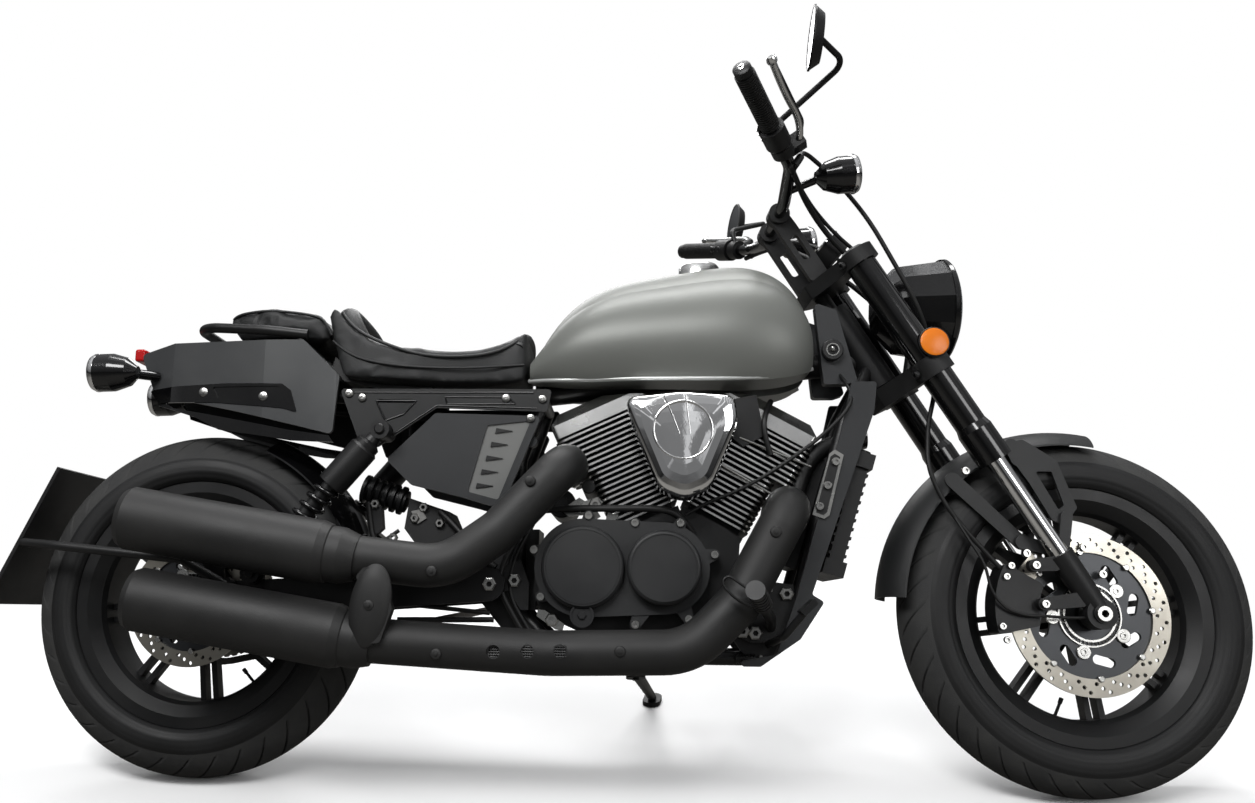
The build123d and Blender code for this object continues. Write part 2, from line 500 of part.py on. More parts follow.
def fuel_tank():
    """The tank, lofted from rear to front, with its tunnel over the backbone."""
    #          x    low  high half shoulder
    rows = [(594, 702, 742, 80, 52), (622, 700, 792, 98, 62), (660, 697, 842, 116, 76), (800, 695, 905, 140, 92)]
    rows += [(960, 692, 926, 150, 98), (1052, 700, 892, 132, 86), (1090, 722, 820, 96, 60)]
    body = loft([tank_section(*row) for row in rows])
    tunnel = slab(outline([(580, 690), (1100, 690), (1100, 776), (580, 722)]), -32, 32)
    cap = Pos(CAP_X, 0, 905) * Cylinder(CAP_R, 28, align=BASE)
    return body - tunnel + fillet(cap.edges().group_by(Axis.Z)[-1], 5)


def rider_seat():
    """The rider's saddle, dished, with a raised back."""
    top = [Line((590, 704), (590, 802)), ThreePointArc((590, 802), (500, 757), (400, 754))]
    top += [ThreePointArc((400, 754), (300, 782), (246, 846)), Line((246, 846), (232, 820))]
    top += [Line((232, 820), (262, 706)), ThreePointArc((262, 706), (430, 690), (590, 704))]
    side = slab(make_face(top), -140, 140)
    shape = mirrored([(600, -84), (520, -96), (400, -132), (300, -132), (220, -112)])
    return side & plan(shape, 600, 900, 30)


def pillion_seat():
    """The separate pad behind the rider."""
    side = slab(outline([(32, 812), (36, 834), (120, 838), (218, 824), (238, 776), (60, 776)], 6), -110, 110)
    return side & plan(mirrored([(240, -98), (120, -100), (26, -70)]), 700, 900, 24)


def grab_rail():
    """A bent tube round the back of the pillion pad, on two feet."""
    path = [(196, -112, 782), (120, -116, 790), (-20, -92, 803), (-20, 92, 803), (120, 116, 790), (196, 112, 782)]
    feet = [rod((182, side * 108, 772.3), (182, side * 108, 784), 7) for side in (-1, 1)]
    return joined([tube(path, [120, 60, 60, 120], 9), *feet])


TAIL_PLAN = ((262, -118), (120, -114), (-60, -86), (-136, -62))    # x, y of the tail's right side
TAIL_INSERT = ((-107, 688), (-51, 693), (48, 695), (156, 691), (172, 679), (185, 639), (159, 647),
               (25, 661), (-86, 664))                               # x, z of the black panel's edge


def tail_layer(depth):
    """The tail's plan brought in by a depth, as tall as the tail."""
    return plan(mirrored([(x, y + depth) for x, y in TAIL_PLAN]), 560, 800)


def tail_cowl():
    """The painted tail, hollow over the seat rails, open below, with a sunk panel on each side."""
    edge = [(-132, 758), (-60, 774), (190, 772), (258, 706), (250, 600), (60, 646), (-96, 680)]
    side = slab(outline(edge, 8), -120, 120)
    body = side & plan(mirrored([*TAIL_PLAN]), 560, 800, 12)
    inner = slab(outline([(-110, 560), (-110, 752), (184, 765), (300, 660), (300, 560)]), -120, 120)
    inner &= plan(mirrored([(300, -111), (120, -107), (-60, -79), (-128, -56)]), 560, 800)
    recess = slab(outline([*TAIL_INSERT], 3), -130, 130) - tail_layer(2.5)
    return body - inner - recess


def black_mouldings():
    """Black side panels and lower strips of the tail, the rear hugger and the horn."""
    panel = slab(outline([*TAIL_INSERT], 3), -130, 130)
    pocket = slab(outline([(22, 689), (150, 687), (168, 650), (32, 671)], 2), -130, 130)
    panel = panel & (tail_layer(-2) - tail_layer(2.5)) - (pocket - tail_layer(0.5))
    strip = outline([(-92, 676), (-54, 653), (15, 640), (167, 609), (244, 598), (252, 586), (173, 590), (36, 612),
                     (-12, 636), (-88, 660)])
    strip = slab(strip, -130, 130) & (tail_layer(1) - tail_layer(7)) - tail_cowl()
    radius, half = REAR_TYRE_R + HUGGER_GAP, REAR_TYRE_HALF + 4
    arch = [ThreePointArc((-half, radius - 28), (0, radius), (half, radius - 28)), Line((half, radius - 28), (half, radius - 31))]
    arch += [ThreePointArc((half, radius - 31), (0, radius - 3), (-half, radius - 31))]
    arch += [Line((-half, radius - 31), (-half, radius - 28))]
    hugger = revolve(Plane.YZ * make_face(arch), axis=Axis.Y, revolution_arc=46)
    hugger = Pos(REAR_X, 0, REAR_AXLE.Z) * Rot(0, 24, 0) * hugger
    horn = rod((1168, 0, 612), (1192, 0, 614), HORN_R, HORN_R - 5) + rod((1172, 0, 612), (1144, 0, 602), 8)
    return [panel, strip, hugger + hugger_foot(), horn - crossbar(600)]


def hugger_foot():
    """The plate that carries the hugger on the swing arm's cross tube."""
    foot = slab(strap((REAR_X + 306, 432), 7, (CROSS_X - 22, CROSS_Z + 24), 7), -30, 30)
    return foot - round_y(CROSS_X, CROSS_Z, CROSS_R, -30, 30)


def crossbar(z):
    """A bar between the two downtubes at a height."""
    x = 1047 + (z - 305) * (1148 - 1047) / (640 - 305)
    return rod((x, -66, z), (x, 66, z), TUBE_FRAME_R - 2)


def tail_lamp():
    """The red lamp across the end of the tail."""
    block = Pos(-144, 0, 762) * Box(20, 96, 24)
    return fillet(block.edges(), 5)


def signal(tip, back, radius):
    """A bullet lamp from its lens at the tip to its rounded back."""
    length = (Vector(back) - Vector(tip)).length
    half = [(0, 0), (radius * 0.8, 2), (radius, 10), (radius, length * 0.45), (radius * 0.75, length * 0.8)]
    shape = turned(half + [(radius * 0.3, length), (0, length)])
    return Plane(origin=tip, z_dir=Vector(back) - Vector(tip)) * shape


def rear_signals():
    """Bullet signals on short stalks beside the tail, lenses to the rear."""
    lamp = signal((-188, -122, 711), (-108, -122, 713), 34)
    return both(lamp + rod((-132, -122, 712), (-92, -77, 714), 9) - tail_cowl())


def body_covers():
    """Side covers with their slotted vents, and the shrouds beside the steering head."""
    edge = [(347, 556), (432, 638), (618, 632), (552, 470), (482, 490), (392, 512)]
    cover = slab(outline(edge, 7), -112, -100)
    vent = slab(outline([(524, 616), (600, 624), (545, 486), (492, 500)], 5), -112, -109)
    for step in range(5):
        x, z = 506 + step * 8, 506 + step * 24
        vent -= slab(outline([(x, z), (x + 30, z + 4), (x + 2, z + 9)]), -113, -108)
    lugs = [round_y(600, 590, 10, -100, -77)]
    shroud = slab(outline([(1098, 842), (1136, 828), (1168, 700), (1150, 694), (1110, 694)], 6), -74, -50)
    lock = round_y(1125, 753, 18, -84, -74)
    return both(joined([cover - vent, *lugs])), both(shroud) + lock


def plate_carrier():
    """The U of tube round the back of the tyre that holds the bare number board."""
    out = ARM_Y + ARM_T
    path = [(84, -out - 14, 336), (0, -out - 14, 380), (-230, -out - 8, 402), (-323, -92, 410), (-323, 92, 410)]
    path += [(-230, out + 8, 402), (0, out + 14, 380), (84, out + 14, 336)]
    bar = tube([(REAR_X + x, y, z) for x, y, z in path], [60, 90, 55, 55, 90, 60], 8)
    tabs = [rod((REAR_X + 84, side * out, 336), (REAR_X + 84, side * (out + 18), 336), 13) for side in (-1, 1)]
    board = outline([(-252, 542), (-365, 300), (-371, 303), (-258, 545)])
    return joined([bar, slab(Pos(REAR_X, 0) * board, -95, 95), *tabs])


def rear_caliper():
    """The rear caliper above the disc, on its bracket from the right leg."""
    gap_low, gap_high = REAR_DISC_Y - DISC_T / 2 - DISC_GAP, REAR_HUB_RIGHT + DISC_GAP
    body = slab(sector(REAR_AXLE, 92, 142, 52, 84), -ARM_Y + 2, -44)
    body -= round_y(REAR_X, REAR_AXLE.Z, REAR_DISC_R + DISC_GAP, gap_low, gap_high)
    arm = slab(Pos(REAR_X, 0) * strap((52, 344), 16, (40, 396), 18), -ARM_Y, -ARM_Y + 8)
    return body + arm


def foot_controls():
    """Footrests on their brackets, the brake pedal on the right and the gear lever on the left."""
    made = []
    for side in (-1, 1):
        knee, root = [Vector(x, side * y, z) for x, y, z in (PEG_KNEE, PEG_ROOT)]
        way = (root - knee).normalized()
        rubber = rod(root, root + way * PEG_LENGTH, 15)
        for step in range(5):
            start = root + way * (12 + step * 13)
            rubber -= rod(start, start + way * 4, 20) - rod(start, start + way * 4, 12)
        pivot = Vector(PEG_BASE[0] - 4, side * 90, 248)
        knee, tip = Vector(1014, side * 190, 262), Vector(1048, side * 214, 306)
        arm = tube([pivot, knee, tip], [24], 6)
        if side < 0:
            foot = slab(outline([(1034, 302), (1056, 322), (1062, 314), (1042, 295)], 2), -238, -196)
        else:
            foot = rod(tip - Vector(0, 8, 0), tip + Vector(0, 34, 0), 9)
        bracket = round_y(pivot.X, pivot.Z, 20, *sorted((side * CRADLE_Y, side * 90)))
        made += [rubber, joined([arm, foot]) - bracket]
    return made


def drive_chain():
    """The chain's loop round the sprocket and the engine's pinion."""
    rear, front = (REAR_AXLE.X, REAR_AXLE.Z), (640, 370)
    loop = strap(rear, SPROCKET_R + 1 + CHAIN_H, front, PINION_R + CHAIN_H)
    return slab(loop - strap(rear, SPROCKET_R + 1, front, PINION_R), CHAIN_Y - CHAIN_W / 2, CHAIN_Y + CHAIN_W / 2)


# ---------------------------------------------------------------- steering
def fork_clamps():
    """Lower and upper clamps on the stem, with a ring round each tube."""
    parts = [FORK.location * Pos(0, 0, LOW_CLAMP) * Cylinder(STEM_R, TOP_CLAMP + CLAMP_T - LOW_CLAMP, align=BASE)]
    for low, arm_t in ((LOW_CLAMP, 34), (TOP_CLAMP, CLAMP_T)):
        bridge = extrude(Pos(0, 0, low) * strap_xy(30), arm_t)
        rings = [Pos(TUBE_AHEAD, side * TUBE_Y, low) * Cylinder(TUBE_R + 8, arm_t, align=BASE) for side in (-1, 1)]
        bores = [Pos(TUBE_AHEAD, side * TUBE_Y, low) * Cylinder(TUBE_R, arm_t, align=BASE) for side in (-1, 1)]
        clamp = joined([bridge, *rings])
        for bore in bores:
            clamp -= bore
        parts.append(FORK.location * clamp)
    parts.append(rod((1274, 0, 712), (1286, 0, 775), 12))
    return joined(parts) - headlight()


def strap_xy(radius):
    """A clamp's outline seen along the steering axis: stem boss and two arms to the tubes."""
    arms = [(-radius, -34), (-radius, 34), (TUBE_AHEAD - 20, TUBE_Y + 14), (TUBE_AHEAD + 18, TUBE_Y)]
    return outline(arms + [(TUBE_AHEAD - 4, 0), (TUBE_AHEAD + 18, -TUBE_Y), (TUBE_AHEAD - 20, -TUBE_Y - 14)], 8)


def upper_tubes():
    """The two black outer tubes, thicker at the seal, bored for the sliders."""
    half = [(SLIDER_R + 0.2, TUBE_LOW), (TUBE_LIP_R, TUBE_LOW), (TUBE_LIP_R, TUBE_LIP), (TUBE_R, TUBE_LIP + 12)]
    half += [(TUBE_R, TUBE_TOP), (0, TUBE_TOP), (0, TUBE_LOW + 80), (SLIDER_R + 0.2, TUBE_LOW + 80)]
    one = turned(half)
    return [FORK.location * Pos(TUBE_AHEAD, side * TUBE_Y, 0) * one for side in (-1, 1)]


def lower_tubes():
    """The two chromed sliders."""
    foot = AXLE_UP + SLIDER_FOOT
    slider = Cylinder(SLIDER_R, TUBE_LOW + 70 - foot, align=BASE)
    return [FORK.location * Pos(TUBE_AHEAD, side * TUBE_Y, foot) * slider for side in (-1, 1)]


def axle_holders():
    """The castings at the foot of the fork with the front axle through them."""
    axle_x, axle_z = FRONT_AXLE.X, FRONT_AXLE.Z
    parts = [rod((axle_x, -TUBE_Y - 18, axle_z), (axle_x, TUBE_Y + 18, axle_z), AXLE_R)]
    for side in (-1, 1):
        body = FORK.location * Pos(TUBE_AHEAD, side * TUBE_Y, AXLE_UP + 4) * Cone(19, HOLDER_R, HOLDER_H - 4, align=BASE)
        low, high = sorted((side * (TUBE_Y - 15), side * (TUBE_Y + 16)))
        boss = round_y(axle_x, axle_z, HOLDER_BOSS_R, low, high)
        low, high = sorted((side * (FRONT_HUB_LEFT + 1), side * (TUBE_Y - 15)))
        spacer = round_y(axle_x, axle_z, 13, low, high)
        low, high = sorted((side * (TUBE_Y + 12), side * (TUBE_Y + 20)))
        nut = round_y(axle_x, axle_z, 15, low, high)
        parts += [body, boss, spacer, nut]
    for foot, tip in (((-68, 81), (-100, 78)), ((-30, 23), (-90, 15))):
        arm = Pos(axle_x, axle_z) * strap(foot, 12, tip, 10)
        parts.append(slab(arm, -TUBE_Y - 10, -TUBE_Y + 4))
    body = joined(parts)
    for side in (-1, 1):
        place = FORK.location * Pos(TUBE_AHEAD, side * TUBE_Y, AXLE_UP + SLIDER_FOOT)
        body -= place * Cylinder(SLIDER_R, 200, align=BASE)
    return body - round_y(axle_x, axle_z, AXLE_BORE_R, -TUBE_Y - 20, TUBE_Y + 20)


def front_fender():
    """The arched fender on four stays bolted to the axle holders."""
    ahead, lap, half, wall = -14, 30, FENDER_HALF, FENDER_WALL
    radius = FRONT_TYRE_R + FENDER_GAP
    arch = [ThreePointArc((-half, radius - lap), (0, radius), (half, radius - lap))]
    arch += [Line((half, radius - lap), (half, radius - lap - wall))]
    arch += [ThreePointArc((half, radius - lap - wall), (0, radius - wall), (-half, radius - lap - wall))]
    arch += [Line((-half, radius - lap - wall), (-half, radius - lap))]
    sweep_from, sweep_to = 80, 175
    strip = revolve(Plane.YZ * make_face(arch), axis=Axis.Y, revolution_arc=sweep_to - sweep_from)
    parts = [Pos(FRONT_AXLE.X + ahead, 0, FRONT_AXLE.Z) * Rot(0, 90 - sweep_to, 0) * strip]
    # x and z of the stays from the axle; their upper bolts lie at the fender's edge
    rear_low, front_low = (-106, 119), (-28, 163)
    rear_bolt, front_bolt = [polar(radius - 22, angle, ahead) for angle in (131.7, 108.5)]
    rear = strap(rear_bolt, 13, rear_low, 12)
    front = outline([(-126, 285), (-90, 297), (-34, 261), (-6, 179), (-30, 149), (-50, 157), (-84, 221)], 6)
    front += strap(front_bolt, 13, (-100, 262), 12)
    front -= outline([(-72, 241), (-44, 241), (-28, 183), (-38, 175)], 3)
    feet = [strap(rear_low, 12, (-52, 105), 9), strap(front_low, 10, (-38, 105), 9)]
    place = Pos(FRONT_AXLE.X, FRONT_AXLE.Z)
    for side in (-1, 1):
        near, step, far = half + 4, half + 9, TUBE_Y - SLIDER_R - 1
        low, high = sorted((side * near, side * step))
        parts += [slab(place * rear, low, high), slab(place * front, low, high)]
        low, high = sorted((side * step, side * far))
        parts += [slab(place * foot, low, high) for foot in feet]
        low, high = sorted((side * (half - 3), side * near))
        parts += [slab(place * Pos(*bolt) * Circle(7), low, high) for bolt in (rear_bolt, front_bolt)]
    body = joined(parts)
    for side in (-1, 1):
        place = FORK.location * Pos(TUBE_AHEAD, side * TUBE_Y, AXLE_UP)
        body -= place * Cylinder(HOLDER_R, HOLDER_H, align=BASE)
    return body


def polar(radius, angle, ahead=0):
    """An (x, z) point from a wheel's centre at an angle above +X, in degrees."""
    return (ahead + radius * cos(radians(angle)), radius * sin(radians(angle)))


def headlight():
    """The faceted shell of the headlamp."""
    #        x     radius
    rows = [(1222, 46), (1258, 82), (1340, 94)]
    return loft([Plane(origin=(x, 0, 848), x_dir=(0, 1, 0), z_dir=(1, 0, 0)) * RegularPolygon(radius, 12)
                 for x, radius in rows], ruled=True)


def headlight_lens():
    """The lens in the front of the shell."""
    return rod((1340, 0, 848), (1352, 0, 848), 88, 80)


def riser_plates():
    """The two tall slotted plates from the top clamp to the handlebar's clamps."""
    foot, top = TOP_CLAMP + CLAMP_T, BAR_UP
    half = RISER_W / 2
    made = []
    for side in (-1, 1):
        face = outline([(-half, foot), (half, foot), (half, top - 30), (half - 2, top + 8), (-half - 2, top + 8), (-half, top - 30)], 5)
        face -= outline([(-8, foot + 40), (8, foot + 40), (8, top - 48), (-8, top - 48)], 6)
        place = Plane(origin=fork(0, side * RISER_Y + RISER_T / 2, 0), x_dir=FORK.x_dir, z_dir=(0, -1, 0))
        plate = extrude(place.location * face, RISER_T, dir=(0, -1, 0))
        bar = rod(fork(BAR_AHEAD, side * RISER_Y - 20, BAR_UP), fork(BAR_AHEAD, side * RISER_Y + 20, BAR_UP), BAR_R)
        clamp = rod(fork(BAR_AHEAD, side * RISER_Y - 15, BAR_UP), fork(BAR_AHEAD, side * RISER_Y + 15, BAR_UP), 19)
        made.append(plate + clamp - bar)
    return made


def handlebar():
    """The wide bar, rising and coming back to the grips."""
    (in_a, in_y, in_u), (out_a, out_y, out_u) = GRIP_IN, GRIP_OUT
    half = [(BAR_AHEAD, 95, BAR_UP), (in_a, in_y, in_u), (out_a, out_y, out_u)]
    left = [fork(a, y, u) for a, y, u in half]
    right = [fork(a, -y, u) for a, y, u in reversed(half)]
    return tube(right + left, [60, 60, 60, 60], BAR_R)


def grips():
    """Rubber grips with their end weights."""
    (in_a, in_y, in_u), (out_a, out_y, out_u) = GRIP_IN, GRIP_OUT
    start, end = fork(in_a, in_y, in_u), fork(out_a, out_y, out_u)
    way = (end - start).normalized()
    core = rod(start, end + way, BAR_R)
    grip = rod(end - way * 118, end, 17) - core + rod(end, end + way * 16, 15)
    return both(grip)


def bar_end():
    """The outer end of the bar's left side and its outward direction."""
    start, end = fork(*GRIP_IN), fork(*GRIP_OUT)
    return end, (end - start).normalized()


def perch(radius):
    """The clamp that carries a lever and a mirror."""
    end, way = bar_end()
    return rod(end - way * (PERCH_BACK + 10), end - way * (PERCH_BACK - 10), radius)


def hand_controls():
    """Switch housings and levers, one pair for each hand."""
    end, way = bar_end()
    core = rod(end - way * 210, end, BAR_R)
    pod = rod(end - way * 160, end - way * 122, 22) - core
    middle = end - way * PERCH_BACK
    knuckle = middle + FORWARD * 34
    arm = rod(middle + FORWARD * 14, knuckle, 9)
    lever = tube([knuckle, knuckle + FORWARD * 18 + way * 34, end + FORWARD * 50], [24], 5)
    cylinder = rod(middle + FORWARD * 26, middle + FORWARD * 26 - way * 34, 9)
    tank = Plane(origin=middle + FORWARD * 26 - way * 22, x_dir=way, z_dir=UP) * Pos(0, 0, 14) * Box(40, 34, 24)
    right = (joined([perch(19), arm, lever, tank, cylinder]) - core).mirror(Plane.XZ)
    return both(pod), joined([perch(19), arm, lever]) - core, right


def gauge():
    """A round instrument above the top clamp."""
    drum = rod(fork(64, 0, TOP_CLAMP + CLAMP_T + 22), fork(54, 0, TOP_CLAMP + CLAMP_T + 54), 36, 40)
    return drum + rod(fork(44, 0, TOP_CLAMP + CLAMP_T), fork(44, 0, TOP_CLAMP + CLAMP_T + 40), 8)


def mirrors():
    """Round mirrors on cranked stalks."""
    head_centre = fork(79, 376, 1316)
    back = Vector(-0.96, -0.1, 0.1)
    shell = Plane(origin=head_centre, z_dir=back) * Cone(38, 50, 16)
    end, way = bar_end()
    base = end - way * PERCH_BACK + UP * 16 + FORWARD * 6
    stalk = tube([base, base + UP * 26 + FORWARD * 8, fork(122, 326, 1277), head_centre - back * 6], [16, 24], 5)
    return both(joined([shell, stalk]) - perch(19))


def front_signals():
    """Bullet signals on stalks from the bar, lenses forward."""
    tip, back = fork(112, 160, 1150), fork(48, 160, 1180)
    lamp = signal(tip, back, 32)
    bar = rod(fork(BAR_AHEAD, 95, BAR_UP), fork(*GRIP_IN), BAR_R)
    return both(lamp + rod(fork(70, 160, 1172), fork(8, 130, 1190), 7) - bar)


def hose(points, radius):
    """A hose through points given in the fork's frame, each bend as large as its runs allow."""
    path = [fork(*point) for point in points]
    bends = []
    for before, at, after in zip(path, path[1:], path[2:]):
        turn = radians((at - before).get_angle(after - at))
        bends.append(0.45 * min((at - before).length, (after - at).length) / tan(turn / 2))
    print("hose bends", [round(bend) for bend in bends])
    return tube(path, bends, radius)


def brake_hoses():
    """Brake hose from the lever's cylinder to the caliper, and the wheel sensor's lead beside it."""
    pair = hose(BRAKE_HOSE, HOSE_R) + hose(SENSOR_LEAD, LEAD_R)
    return pair - front_caliper() - round_y(FRONT_AXLE.X, FRONT_AXLE.Z, HOLDER_BOSS_R, -TUBE_Y - 16, -TUBE_Y + 15)


def front_caliper():
    """The radial caliper behind the right leg."""
    body = slab(sector(FRONT_AXLE, 94, 166, 150, 192), -TUBE_Y + 4, -44)
    body = fillet(body.edges().filter_by(Axis.Y), 7)
    gap_low, gap_high = FRONT_DISC_Y - DISC_T / 2 - DISC_GAP, FRONT_HUB_RIGHT + DISC_GAP
    return body - round_y(FRONT_AXLE.X, FRONT_AXLE.Z, FRONT_DISC_R + DISC_GAP, gap_low, gap_high)


# ---------------------------------------------------------------- standing on the ground
def settle():
    """Pitch and lift that put both leaning tyres on the ground."""
    pitch = 0
    axle = Vector(0, 1, 0)
    for _ in range(6):
        lows = []
        for centre, spin, radius, crown in ((REAR_AXLE, axle, REAR_TYRE_R, REAR_CROWN),
                                            (FRONT_AXLE, steered(FRONT_AXLE + axle) - steered(FRONT_AXLE),
                                             FRONT_TYRE_R, FRONT_CROWN)):
            centre = steered(centre) if centre is FRONT_AXLE else centre
            middle, tilt = leaned(centre, pitch), leaned(spin, pitch).Z
            lows.append(middle.Z - (radius - crown) * sqrt(1 - tilt ** 2) - crown)
        pitch += degrees((lows[1] - lows[0]) / WHEELBASE)
    return pitch, -lows[0]


def steered(point):
    """A point of the steering after it is turned."""
    offset = Vector(point) - Vector(STEER_X, 0, 0)
    return offset.rotate(Axis((0, 0, 0), STEER_AXIS.direction), STEER) + Vector(STEER_X, 0, 0)


def leaned(vector, pitch):
    """A vector after the lean and the pitch."""
    return Vector(vector).rotate(Axis.X, -LEAN).rotate(Axis.Y, pitch)


PITCH, LIFT = settle()


def stood(shape, turned_too=False):
    """The shape in its parked place, before the origin is centred."""
    if turned_too:
        shape = shape.rotate(STEER_AXIS, STEER)
    return Pos(0, 0, LIFT) * shape.rotate(Axis.X, -LEAN).rotate(Axis.Y, PITCH)


def stood_point(point):
    return leaned(point, PITCH) + Vector(0, 0, LIFT)


def side_stand():
    """The leg from its pivot to the foot that lies flat on the ground."""
    pivot = stood_point(STAND_PIVOT)
    axis = leaned(STAND_AXIS, PITCH).normalized()
    foot = Vector(*STAND_FOOT, 0)
    way = (foot - pivot).normalized()
    low, high = pivot - axis * STAND_EYE, pivot + axis * STAND_EYE
    eye = rod(low, high, STAND_R + 7) - rod(low, high, STAND_PIN + RUN_GAP)
    leg = rod(pivot + way * 14, foot + Vector(0, 0, 10), STAND_R, STAND_R - 2)
    pad = extrude(Pos(*STAND_FOOT, 0) * Rot(0, 0, 80) * SlotOverall(62, 36), 9)
    return joined([eye, leg, pad])


# ---------------------------------------------------------------- the assembly
FIXED = {
    "main_frame": [main_frame()], "frame_plates": [frame_plates()], "swing_arm": [swing_arm()],
    "shocks": [shocks()], "cylinders": cylinders(), "head_covers": head_covers(),
    "crankcase": [crankcase()], "engine_covers": engine_covers(), "air_cleaner": [air_cleaner()],
    "exhausts": exhausts(), "radiator": [radiator()], "radiator_cowl": [radiator_cowl()],
    "fuel_tank": [fuel_tank()], "rider_seat": [rider_seat()], "pillion_seat": [pillion_seat()],
    "grab_rail": [grab_rail()], "tail_cowl": [tail_cowl()], "tail_lamp": [tail_lamp()], "black_mouldings": black_mouldings(),
    "rear_signals": [rear_signals()], "body_covers": body_covers(), "plate_carrier": [plate_carrier()],
    "rear_caliper": [rear_caliper()], "foot_controls": foot_controls(), "drive_chain": [drive_chain()],
    "rear_rim": [rim(REAR_AXLE, REAR_RIM_HALF, REAR_HUB_RIGHT, REAR_HUB_LEFT)],
    "rear_tyre": [tyre(REAR_AXLE, REAR_TYRE_R, REAR_TYRE_HALF, REAR_CROWN, REAR_RIM_HALF)],
    "rear_disc": [brake_disc(REAR_AXLE, REAR_DISC_R, REAR_DISC_IN, REAR_DISC_Y, REAR_HUB_RIGHT, 6)],
    "rear_sprocket": [sprocket()],
}
TURNING = {
    "fork_clamps": [fork_clamps()], "upper_tubes": upper_tubes(), "lower_tubes": lower_tubes(),
    "axle_holders": [axle_holders()], "front_fender": [front_fender()], "headlight": [headlight()],
    "headlight_lens": [headlight_lens()], "riser_plates": riser_plates(), "handlebar": [handlebar()],
    "grips": [grips()], "hand_controls": hand_controls(), "gauge": [gauge()], "mirrors": [mirrors()],
    "front_signals": [front_signals()], "front_caliper": [front_caliper()], "brake_hoses": [brake_hoses()],
    "front_rim": [rim(FRONT_AXLE, FRONT_RIM_HALF, FRONT_HUB_RIGHT, FRONT_HUB_LEFT)],
    "front_tyre": [tyre(FRONT_AXLE, FRONT_TYRE_R, FRONT_TYRE_HALF, FRONT_CROWN, FRONT_RIM_HALF)],
    "front_disc": [brake_disc(FRONT_AXLE, FRONT_DISC_R, FRONT_DISC_IN, FRONT_DISC_Y, FRONT_HUB_RIGHT, 8)],
}
nodes = {name: [stood(shape) for shape in shapes] for name, shapes in FIXED.items()}
nodes.update({name: [stood(shape, True) for shape in shapes] for name, shapes in TURNING.items()})
nodes["side_stand"] = [side_stand()]

boxes = [shape.bounding_box() for shapes in nodes.values() for shape in shapes]
centre_x = (min(box.min.X for box in boxes) + max(box.max.X for box in boxes)) / 2
centre_y = (min(box.min.Y for box in boxes) + max(box.max.Y for box in boxes)) / 2
ORIGIN = Vector(centre_x, centre_y, 0)

os.makedirs("parts", exist_ok=True)
for name, shapes in nodes.items():
    solids = [solid for shape in shapes for solid in (Pos(*(-ORIGIN)) * shape).solids()]
    export_step(solids[0] if len(solids) == 1 else Compound(children=solids), f"parts/{name}.step")

# pivots of the moving bodies, from the finished origin
for name, point, direction, turns in (("rear wheel", REAR_AXLE, Vector(0, 1, 0), False),
                                      ("front wheel", FRONT_AXLE, Vector(0, 1, 0), True),
                                      ("steering", fork(0, 0, HEAD_LOW), STEER_AXIS.direction, False),
                                      ("side stand", Vector(STAND_PIVOT), Vector(STAND_AXIS).normalized(), False)):
    if turns:
        direction = steered(point + direction) - steered(point)
        point = steered(point)
    place, way = stood_point(point) - ORIGIN, leaned(direction, PITCH)
    print(name, [round(v, 3) for v in place], [round(v, 5) for v in way])
print("pitch", round(PITCH, 4), "lift", round(LIFT, 3), "origin", [round(v, 3) for v in ORIGIN])
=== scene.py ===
import bmesh
import bpy
import json
from math import atan2, cos, hypot, pi, radians, sin
from mathutils import Matrix, Vector


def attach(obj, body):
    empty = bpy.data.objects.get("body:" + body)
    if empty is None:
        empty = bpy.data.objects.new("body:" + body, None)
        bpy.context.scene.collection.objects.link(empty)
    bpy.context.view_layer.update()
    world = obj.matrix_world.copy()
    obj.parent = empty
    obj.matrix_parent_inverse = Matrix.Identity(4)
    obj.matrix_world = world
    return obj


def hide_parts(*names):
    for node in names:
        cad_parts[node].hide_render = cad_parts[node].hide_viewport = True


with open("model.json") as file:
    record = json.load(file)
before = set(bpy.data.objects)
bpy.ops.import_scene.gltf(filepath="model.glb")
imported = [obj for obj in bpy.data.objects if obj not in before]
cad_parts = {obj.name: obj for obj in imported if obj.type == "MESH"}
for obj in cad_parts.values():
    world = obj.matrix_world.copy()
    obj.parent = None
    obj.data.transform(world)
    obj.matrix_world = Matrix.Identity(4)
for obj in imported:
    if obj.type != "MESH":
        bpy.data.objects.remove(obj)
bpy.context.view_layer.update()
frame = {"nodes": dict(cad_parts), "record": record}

# ---- Camera: at standing height on the machine's right, level with the seat.
# It has a phone's lens, shifted so that the machine stands in the middle of the frame.
eye = (0.0529, -2.0637, 0.8261)
yaw, pitch, roll = radians(4.5), radians(-5.7), radians(-0.7)
look = Matrix.Rotation(yaw, 3, "Z") @ Vector((0, cos(pitch), sin(pitch)))
level = Matrix.Rotation(yaw, 3, "Z") @ Vector((1, 0, 0))
up = level.cross(look)
side, top = level * cos(roll) + up * sin(roll), up * cos(roll) - level * sin(roll)
camera = bpy.data.objects.new("camera", bpy.data.cameras.new("camera"))
camera.matrix_world = Matrix.Translation(eye) @ Matrix((side, top, -look)).transposed().to_4x4()
camera.data.lens, camera.data.sensor_width = 31.05, 36
camera.data.shift_x, camera.data.shift_y = 0.0614, 0.012
bpy.context.scene.collection.objects.link(camera)
bpy.context.scene.camera = camera

# ---- Studio: a pale floor that fades to white with distance, under a white sky.
# What the machine mirrors is a dimmer hall: dark near the horizon, with rows of lamps in its ceiling.
# Soft boxes stand above both sides, and a strip of light along the ridge of the tank.
def as_mesh(name, bm):
    """A mesh of what a bmesh holds, which is then freed."""
    mesh = bpy.data.meshes.new(name)
    bm.to_mesh(mesh)
    bm.free()
    return mesh


